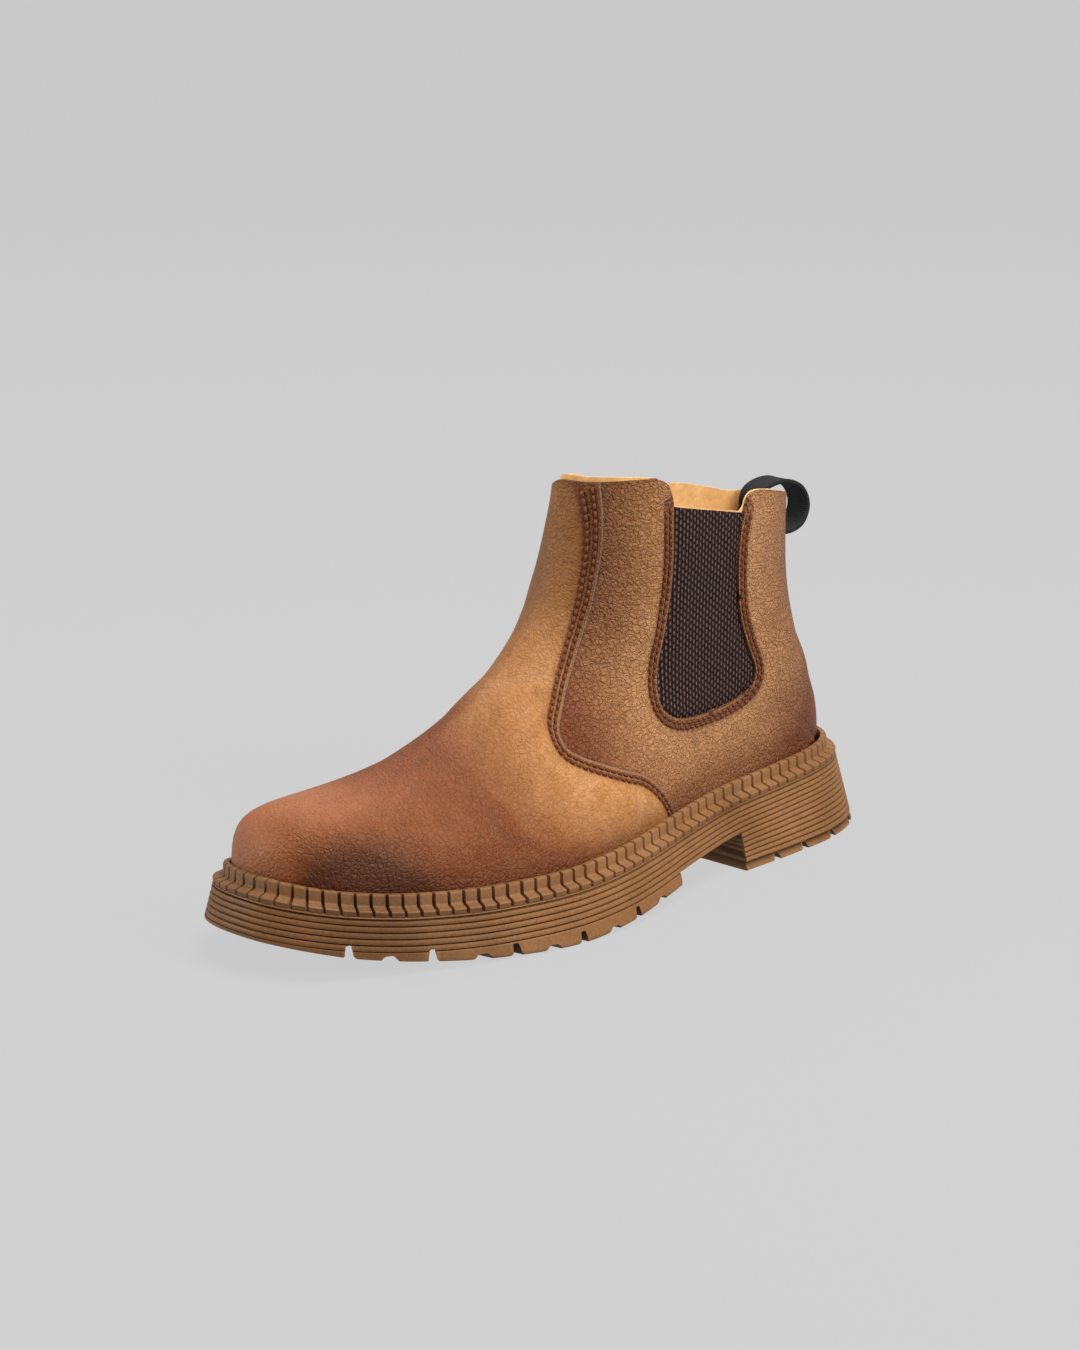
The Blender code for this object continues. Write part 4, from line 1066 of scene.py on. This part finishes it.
def leather_material(name, grain, mottle, bloom, cut_edge):
    """Oiled tan leather: pebbled grain, patches where the oil pulls up, darker where it was rubbed and where
    shade is painted, paler where highlights are painted.
    """
    made, tree, shader, coords = start_material(
        name, Specular_IOR_Level=0.34, Specular_Tint=(1.0, 0.78, 0.56, 1.0))
    seam = attribute(tree, "seam_distance")
    burnish_shade_and_highlight = attribute(tree, "burnish_shade_and_highlight")
    bend = add(tree, "TexNoise", {"Vector": coords, "Scale": 130.0, "Detail": 3.0}).outputs["Color"]
    shift = add(tree, "VectorMath", {0: bend, 1: (0.0035, 0.0035, 0.0035)}, operation="MULTIPLY")
    warped = add(tree, "VectorMath", {0: coords, 1: shift.outputs[0]}, operation="ADD").outputs[0]
    cells = {"Vector": warped, "Scale": 900.0, "Smoothness": 0.6}
    pebbles = add(tree, "TexVoronoi", cells, feature="SMOOTH_F1")
    cracks = add(tree, "TexVoronoi", {"Vector": warped, "Scale": 480.0}, feature="DISTANCE_TO_EDGE")
    cracks = cracks.outputs["Distance"]
    wrinkles = noise(tree, warped, 350.0, 6.0, 0.68)
    pores = noise(tree, coords, 1700.0, 2.0)
    patches = noise(tree, coords, 34.0, 8.0, 0.64, 1.1)
    clouds = noise(tree, coords, 11.0, 3.0, distortion=0.5)
    base = ramp(
        tree, patches, (0.26, (0.285, 0.118, 0.034)), (0.44, (0.390, 0.176, 0.058)),
        (0.58, (0.430, 0.215, 0.086)), (0.74, (0.460, 0.250, 0.118)))
    base = blend(tree, "MIX", bloom, base, (0.390, 0.205, 0.112))
    shade = ramp(tree, clouds, (0.34, (0.86, 0.80, 0.70)), (0.64, (1.04, 1.02, 1.00)))
    mottled = blend(tree, "MULTIPLY", mottle, base, shade)
    fine = ramp(tree, wrinkles, (0.34, (0.76, 0.71, 0.64)), (0.64, (1.10, 1.11, 1.12)))
    grained = blend(tree, "MULTIPLY", 0.75, mottled, fine)
    valleys = ramp(tree, cracks, (0.0, (0.82, 0.76, 0.69)), (0.16, (1.0, 1.0, 1.0)))
    grained = blend(tree, "MULTIPLY", grain, grained, valleys)
    # darker where the leather was rubbed and where shade is painted, paler where a highlight is painted
    uneven = figure(tree, "MULTIPLY_ADD", patches, 1.1, 0.35)
    strength = figure(tree, "MULTIPLY", burnish_shade_and_highlight, uneven, clamp=True)
    paleness = figure(tree, "MULTIPLY", burnish_shade_and_highlight, -0.85, clamp=True)
    painted_highlight = figure(tree, "MULTIPLY", paleness, uneven, clamp=True)
    grained = blend(tree, "MIX", painted_highlight, grained, (0.640, 0.385, 0.215))
    dark = blend(tree, "MULTIPLY", strength, grained, (0.30, 0.185, 0.075))
    # the seam's band is stained by the waxed thread and the tool that rubbed it down
    band = over_seam(tree, seam, 0.35, 0.0, (
        (0.10, 0.35), (0.21, 0.85), (0.33, 0.55), (0.45, 0.85), (0.62, 0.25), (0.85, 0.0)))
    stained = blend(tree, "MULTIPLY", band, dark, (0.40, 0.22, 0.15))
    edge = {"Value": attribute(tree, "edge_distance"), "From Max": 1.4, "To Min": 0.6, "To Max": 0.0}
    rim = add(tree, "MapRange", edge).outputs["Result"]
    burnt = blend(tree, "MULTIPLY", rim, stained, (0.42, 0.30, 0.22))
    cut = figure(tree, "LESS_THAN", figure(tree, "ABSOLUTE", seam), 0.22)
    colour = blend(tree, "MIX", cut, burnt, cut_edge)
    tree.links.new(colour, shader.inputs["Base Color"])
    gloss = {"Value": wrinkles, "From Min": 0.3, "From Max": 0.7, "To Min": 0.40, "To Max": 0.60}
    tree.links.new(add(tree, "MapRange", gloss).outputs["Result"], shader.inputs["Roughness"])
    open_cracks = add(tree, "MapRange", {"Value": cracks, "From Max": 0.14}).outputs["Result"]
    height = figure(tree, "MULTIPLY", pebbles.outputs["Distance"], -0.9)
    for part, weight in ((wrinkles, 1.5), (pores, 0.25), (open_cracks, 0.45)):
        height = figure(tree, "MULTIPLY_ADD", part, weight, height)
    grain_bump = add(tree, "Bump", {"Height": height, "Strength": grain, "Distance": 0.0007})
    # the thread draws the leather down along its two rows, and leaves it proud between them
    channel = over_seam(tree, seam, 0.50, 1.0, (
        (0.10, 0.72), (0.21, 0.15), (0.33, 0.75), (0.45, 0.15), (0.60, 0.70), (0.80, 0.95)))
    drawn = {"Height": channel, "Normal": grain_bump.outputs["Normal"], "Strength": 1.0, "Distance": 0.0011}
    tree.links.new(add(tree, "Bump", drawn).outputs["Normal"], shader.inputs["Normal"])
    return made


vamp.data.materials.append(leather_material("vamp_leather", 0.50, 1.0, 0.0, (0.150, 0.125, 0.115)))
quarters.data.materials.append(leather_material("quarter_leather", 0.95, 0.5, 0.45, (0.120, 0.045, 0.020)))
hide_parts("upper")
for piece in (vamp, quarters):
    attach(piece, "root")


(gore_top_front, gore_top_front_z), (gore_top_rear, gore_top_rear_z) = side_points(GORE_TOP)
collar_points = []
for x, _ in side_points((GORE_FRONT[0], GORE_REAR[-1])):
    share = (x - gore_top_rear) / (gore_top_front - gore_top_rear)
    collar_points.append((x, gore_top_rear_z + share * (gore_top_front_z - gore_top_rear_z)))
collar_line = np.vstack([rim_ahead, quarter_rim, collar_points, tab_rim, rim_behind])
above_collar = np.vstack([collar_line, sky_ends])


def lining_area(xz):
    """Up to just over the leather's rim, and a little higher in front."""
    front = smooth_step(0.40 * LENGTH, 0.47 * LENGTH, xz[:, 0])
    return -from_line(xz, collar_line, above_collar) + 0.0002 + 0.0014 * front


LINING_DEPTH = 0.0027
LINING_THICKNESS = 0.0005
lining = leather_piece("lining", LINING_DEPTH, LINING_THICKNESS, lining_area, 0.0)
suede, tree, shader, coords = start_material(
    "lining_suede", Roughness=0.85, Sheen_Weight=0.3, Sheen_Roughness=0.5)
nap = noise(tree, coords, 160.0, 6.0, 0.7)
colour = ramp(tree, nap, (0.30, (0.560, 0.290, 0.085)), (0.70, (0.820, 0.480, 0.175)))
link_look(tree, shader, colour, noise(tree, coords, 2600.0, 2.0), 0.4, 0.0003)
lining.data.materials.append(suede)
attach(lining, "root")

# Gores: a panel of ribbed elastic in each side, sewn behind the quarters' cut-out. The knit's raised cells
# run up and down in staggered ribs, light thread over a dark ground.
GORE_SINK = 0.0006
GORE_TUCK = 0.00242  # how deep its border lies behind the quarters
ELASTIC_THICKNESS = 0.0003
KNIT_ACROSS = 0.0018
KNIT_ALONG = 0.0026


def gore_inside(xz):
    rise = (gore_top_front_z - gore_top_rear_z) / (gore_top_front - gore_top_rear)
    below_top = gore_top_rear_z + rise * (xz[:, 0] - gore_top_rear) - xz[:, 1]
    behind = np.minimum(in_gore(xz) + 0.0030, lining_area(xz) - 0.0004)
    return np.minimum(behind, below_top * math.cos(math.atan(rise)))


def gore_depth(points):
    edge = in_gore(side_view(points.reshape(-1, 3))).reshape(points.shape[:2])
    return GORE_TUCK - (GORE_TUCK - VAMP_STEP - GORE_SINK) * smooth_step(-0.0002, 0.0026, edge)


def wave(tree, value, cell):
    """A sine with half a turn in each cell."""
    return figure(tree, "SINE", figure(tree, "MULTIPLY", value, math.pi / cell))


elastic, tree, shader, coords = start_material("ribbed_elastic", Roughness=0.72, Specular_IOR_Level=0.15)
place = add(tree, "SeparateXYZ", {"Vector": coords}).outputs
columns = figure(tree, "DIVIDE", place["X"], KNIT_ACROSS)
across = wave(tree, figure(tree, "FRACT", columns), 1.0)
stagger = figure(tree, "MULTIPLY", figure(tree, "FLOOR", columns), 0.5)
rows_up = figure(tree, "ADD", figure(tree, "DIVIDE", place["Z"], KNIT_ALONG), stagger)
along = wave(tree, figure(tree, "FRACT", rows_up), 1.0)
cell = figure(tree, "MULTIPLY", across, figure(tree, "POWER", along, 0.45))
threads = figure(tree, "SUBTRACT", noise(tree, coords, 900.0, 3.0), 0.5)
cell_uneven = figure(tree, "ADD", cell, figure(tree, "MULTIPLY", threads, 0.35))
colour = ramp(
    tree, cell_uneven,
    (0.45, (0.008, 0.003, 0.003)), (0.72, (0.040, 0.018, 0.014)), (1.0, (0.140, 0.075, 0.058)))
link_look(tree, shader, colour, cell, 0.9, 0.0006)
for name, node, side in (("elastic_lateral", "gore_lateral", 1), ("elastic_medial", "gore_medial", -1)):
    points, _, faces = cut_from_last(gore_depth, gore_inside)
    panel = new_piece(name, points, [face for face in faces if side * points[list(face), 1].mean() > 0])
    thicken(panel, ELASTIC_THICKNESS, -1.0, 0.0, 0)
    panel.data.materials.append(elastic)
    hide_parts(node)
    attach(panel, "root")

# Seams: two rows of thick reddish thread hold the vamp to the quarters, and two more run round each gore.
# Each stitch is a short rod of thread that dips into its holes.
STITCH_PITCH = 0.0030
STITCH_LENGTH = 0.0027
THREAD_RADIUS = 0.00060
# sections of a stitch: share of its length, share of the radius, and lift in radii
STITCH_SECTIONS = (
    (0.0, 0.35, -0.30), (0.12, 0.9, 0.10), (0.35, 1.0, 0.42),
    (0.65, 1.0, 0.42), (0.88, 0.9, 0.10), (1.0, 0.35, -0.30),
)


def surface_tree(depth):
    """The last's surface sunk by depth, to lay things on."""
    laid = (last_surface - depth * last_normals).reshape(-1, 3)
    rows, columns = last_surface.shape[:2]
    faces = [
        (i * columns + j, (i + 1) * columns + j, (i + 1) * columns + j + 1, i * columns + j + 1)
        for i in range(rows - 1) for j in range(columns - 1)
    ]
    return BVHTree.FromPolygons([Vector(p) for p in laid], faces)


def laid_line(tree, line, side):
    """A side-view line laid on the surface of one side (1 lateral, -1 medial), as points and normals."""
    found = []
    places = np.linspace(0.0, LENGTH, 301)
    for x, z in line:
        if side < 0:
            x = float(np.interp(x, places + seam_back(places), places))
        hit, normal, _, _ = tree.ray_cast(Vector((x, side * 0.3, z)), Vector((0.0, -side, 0.0)))
        if hit is not None and hit.y * side > -0.012:
            if normal.y * side < 0:
                normal = -normal
            found.append((*hit, *normal))
    return np.array(found)


def offset_line(line, distance):
    """The line moved to its left by distance."""
    line = np.asarray(line, float)
    run = np.gradient(line, axis=0)
    run /= np.linalg.norm(run, axis=1)[:, None]
    return line + distance * np.column_stack([-run[:, 1], run[:, 0]])


def sample_line(line, step=0.0004):
    """Points evenly spaced along a line."""
    run = np.concatenate([[0], np.cumsum(np.linalg.norm(np.diff(line, axis=0), axis=1))])
    at = np.arange(0, run[-1], step)
    return np.column_stack([np.interp(at, run, line[:, j]) for j in range(line.shape[1])])


def add_stitches(points, faces, laid, start):
    """Stitches along a laid line, as rods of six sides."""
    run = np.concatenate([[0], np.cumsum(np.linalg.norm(np.diff(laid[:, :3], axis=0), axis=1))])
    begin = start
    while begin + STITCH_LENGTH < run[-1]:
        rings = []
        for share, swell, lift in STITCH_SECTIONS:
            at = begin + share * STITCH_LENGTH
            before, here, ahead = (
                np.array([np.interp(place, run, laid[:, j]) for j in range(6)])
                for place in (at - 0.0002, at, at + 0.0002)
            )
            along = (ahead - before)[:3]
            along /= np.linalg.norm(along)
            up = here[3:] / np.linalg.norm(here[3:])
            sideways = np.cross(along, up)
            sideways /= np.linalg.norm(sideways)
            up = np.cross(sideways, along)
            centre = here[:3] + up * lift * THREAD_RADIUS
            turns = [corner * math.pi / 3 for corner in range(6)]
            around = [math.cos(turn) * sideways * 1.15 + math.sin(turn) * up for turn in turns]
            rings.append([centre + THREAD_RADIUS * swell * offset for offset in around])
        add_tube(points, faces, rings)
        begin += STITCH_PITCH


SEAM_ROWS = (0.0017, 0.0036)  # distances of the two rows from the cut edge
ROW_STAGGER = 0.0015
RIM_CLEAR = 0.0015
seam_points, seam_faces = [], []
vamp_tree, quarter_tree = surface_tree(0.0), surface_tree(VAMP_STEP)
seam_sampled = sample_line(seam_line)
seam_sampled = seam_sampled[seam_sampled[:, 1] < COLLAR_HEIGHT - 0.0005]
gore_sampled = sample_line(gore_line)
for tree, sampled in ((vamp_tree, seam_sampled), (quarter_tree, gore_sampled)):
    for row, offset in enumerate(SEAM_ROWS):
        for side in (1, -1):
            laid = laid_line(tree, offset_line(sampled, offset), side)
            if tree is vamp_tree:
                laid = laid[laid[:, 2] > seat(laid[:, 0]) + WELT_RISE - 0.001]
                laid = laid[under_rim(side_view(laid[:, :3])) > RIM_CLEAR]
            add_stitches(seam_points, seam_faces, laid, ROW_STAGGER * row)
stitches = new_piece("seam_stitches", seam_points, seam_faces, merge=FINE_MERGE)
face_outwards(stitches)
apply_modifiers(stitches, 60)
thread, tree, shader, coords = start_material(
    "waxed_thread", Specular_IOR_Level=0.25, Specular_Tint=(1.0, 0.70, 0.55, 1.0))
twist = noise(tree, coords, 1800.0, 2.0)
colour = ramp(tree, twist, (0.35, (0.060, 0.017, 0.008)), (0.70, (0.175, 0.054, 0.025)))
tree.links.new(colour, shader.inputs["Base Color"])
stitches.data.materials.append(thread)
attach(stitches, "root")

# Back strip: a narrow strip of dark leather glued and sewn over the back seam, from the welt to the loop.
STRIP_WIDTH = 0.012
STRIP_TOP = 0.1165
STRIP_THICKNESS = 0.0013
STRIP_ROUND = 0.0005
STRIP_COLUMNS = 9
strip_rows = np.linspace(float(seat(0.0)) + WELT_RISE - 0.002, STRIP_TOP + 0.0005, 46)
strip_across = np.linspace(-STRIP_WIDTH / 2, STRIP_WIDTH / 2, STRIP_COLUMNS)
strip_points = []
for z in strip_rows:
    for y in strip_across:
        hit = quarter_tree.ray_cast(Vector((-0.1, y, z)), Vector((1.0, 0.0, 0.0)))[0]
        strip_points.append((hit.x, y, z))
strip_faces = []
for i in range(len(strip_rows) - 1):
    for a in range(i * STRIP_COLUMNS, (i + 1) * STRIP_COLUMNS - 1):
        strip_faces.append((a + STRIP_COLUMNS, a + STRIP_COLUMNS + 1, a + 1, a))
strip = new_piece("back_seam_strip", strip_points, strip_faces)
thicken(strip, STRIP_THICKNESS, 1.0, STRIP_ROUND, 2)
dark_leather, tree, shader, coords = start_material("dark_strip_leather", Roughness=0.55)
grain = noise(tree, coords, 700.0, 4.0)
colour = ramp(tree, grain, (0.35, (0.014, 0.015, 0.013)), (0.70, (0.040, 0.042, 0.036)))
link_look(tree, shader, colour, grain, 0.4, 0.0003)
strip.data.materials.append(dark_leather)
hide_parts("back_strip")
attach(strip, "root")

# Pull loop: black webbing sewn inside the heel tab, folded over the rim in a teardrop and sewn down on the
# back seam. The weave's ribs run across it and its edges are bound a little thicker.
LOOP_WIDTH = 0.0110
LOOP_THICKNESS = 0.0015

# metres behind the back seam and above the rim, from the end inside the tab
LOOP_ROUTE = (
    (-0.0055, -0.0200), (-0.0055, -0.0100), (-0.0050, -0.0044), (-0.0036, -0.0018), (0.0016, 0.0004),
    (0.0120, 0.0006), (0.0212, -0.0040), (0.0244, -0.0110), (0.0212, -0.0176), (0.0122, -0.0200),
    (0.0016, -0.0172),
)

tab_line = np.array(side_points(TAB_RIM)[::-1])
loop_back = float(back_seam(tab_line[0, 1])) + VAMP_STEP
rim_height = float(np.interp(loop_back + WALL, tab_line[:, 0], tab_line[:, 1]))
loop_route = curve_through([(loop_back - behind, rim_height + above) for behind, above in LOOP_ROUTE], 9)
run = np.gradient(loop_route, axis=0)
run /= np.linalg.norm(run, axis=1)[:, None]
loop_normal = np.column_stack([-run[:, 1], run[:, 0]])
loop_run = np.concatenate([[0], np.cumsum(np.linalg.norm(np.diff(loop_route, axis=0), axis=1))])
# half its section, from one edge to the other: shares of the half width and of the half thickness
LOOP_SECTION = (
    (-1.0, 0.0), (-0.985, 0.8), (-0.94, 1.15), (-0.86, 1.05), (-0.6, 0.95), (0.0, 0.95),
    (0.6, 0.95), (0.86, 1.05), (0.94, 1.15), (0.985, 0.8), (1.0, 0.0),
)
loop_section = list(LOOP_SECTION) + [(across, -height) for across, height in LOOP_SECTION[-2:0:-1]]
loop_points, loop_faces, loop_rings = [], [], []
for (x, z), normal in zip(loop_route, loop_normal):
    shifts = [normal * height * LOOP_THICKNESS / 2 for _, height in loop_section]
    sides = [across * LOOP_WIDTH / 2 for across, _ in loop_section]
    loop_rings.append([(x + shift[0], side, z + shift[1]) for shift, side in zip(shifts, sides)])
add_tube(loop_points, loop_faces, loop_rings)
# how far along and across the webbing each point is, in millimetres
loop_along = np.repeat(loop_run * 1000, len(loop_section))
loop_across = np.array(loop_points)[:, 1] * 1000
weave_places = {"along": loop_along, "across": loop_across}
webbing = new_piece("webbing_loop", loop_points, loop_faces, weave_places, merge=FINE_MERGE)
face_outwards(webbing)
apply_modifiers(webbing, 60)
black_web, tree, shader, coords = start_material("black_webbing", Roughness=0.8, Specular_IOR_Level=0.2)
ribs = figure(tree, "ABSOLUTE", wave(tree, attribute(tree, "along"), 0.9))
warp = figure(tree, "ABSOLUTE", wave(tree, attribute(tree, "across"), 0.8))
weave = figure(tree, "MULTIPLY", ribs, figure(tree, "ADD", warp, 0.6))
colour = ramp(tree, weave, (0.10, (0.002, 0.002, 0.002)), (1.0, (0.016, 0.016, 0.017)))
link_look(tree, shader, colour, weave, 0.6, 0.0003)
webbing.data.materials.append(black_web)
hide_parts("pull_loop")
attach(webbing, "root")

# Insole: a padded board covered in tan fabric that lies on the sole inside the upper, a little cupped.
INSOLE_THICKNESS = 0.003
INSOLE_CUP = 0.0006
INSOLE_EDGE_ROUND = 0.0008
inner = last_surface - (WALL + 2 * GAP) * last_normals
at_heel = 1 - smooth_step(2 * UPPER_INSET, 0.1 * LENGTH, inner[..., 0])
inner = inner - (at_heel * 0.5 * WALL)[..., None] * last_normals
on_sole = ring_rows()[:, 3] < MERGE
foot_rows = [i for i in np.flatnonzero(on_sole) if inner[i, 0, 1] - inner[i, -1, 1] > 0.003]
INSOLE_ACROSS = 17
top, under = [], []
for i in foot_rows:
    for share in np.linspace(0, 1, INSOLE_ACROSS):
        x, y = ((1 - share) * inner[i, 0] + share * inner[i, -1])[:2]
        base = float(seat(x))
        edge = abs(2 * share - 1)
        cup = INSOLE_CUP * edge**4 - INSOLE_EDGE_ROUND * edge**24
        top.append((x, y, base + GAP + INSOLE_THICKNESS - 0.0004 + cup))
        under.append((x, y, base + GAP))
count = len(top)
insole_faces = []
for i in range(len(foot_rows) - 1):
    for j in range(INSOLE_ACROSS):
        a, b = i * INSOLE_ACROSS + j, (i + 1) * INSOLE_ACROSS + j
        if j in (0, INSOLE_ACROSS - 1):
            insole_faces.append((a, b, count + b, count + a))
        if j < INSOLE_ACROSS - 1:
            insole_faces.append((a, b, b + 1, a + 1))
            insole_faces.append((count + a, count + a + 1, count + b + 1, count + b))
for j in range(INSOLE_ACROSS - 1):
    for first in (0, (len(foot_rows) - 1) * INSOLE_ACROSS):
        insole_faces.append((first + j, first + j + 1, count + first + j + 1, count + first + j))
insole = new_piece("insole_board", top + under, insole_faces, merge=FINE_MERGE)
face_outwards(insole)
apply_modifiers(insole, 40)
insole_cloth, tree, shader, coords = start_material("insole_fabric", Roughness=0.85)
place = add(tree, "SeparateXYZ", {"Vector": coords}).outputs
CLOTH_CELL = 0.0009
weave = figure(tree, "MULTIPLY", wave(tree, place["X"], CLOTH_CELL), wave(tree, place["Y"], CLOTH_CELL))
wear = noise(tree, coords, 60.0, 4.0)
colour = ramp(tree, wear, (0.30, (0.420, 0.235, 0.090)), (0.70, (0.600, 0.360, 0.150)))
link_look(tree, shader, colour, weave, 0.5, 0.0002)
insole.data.materials.append(insole_cloth)
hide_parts("insole")
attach(insole, "root")
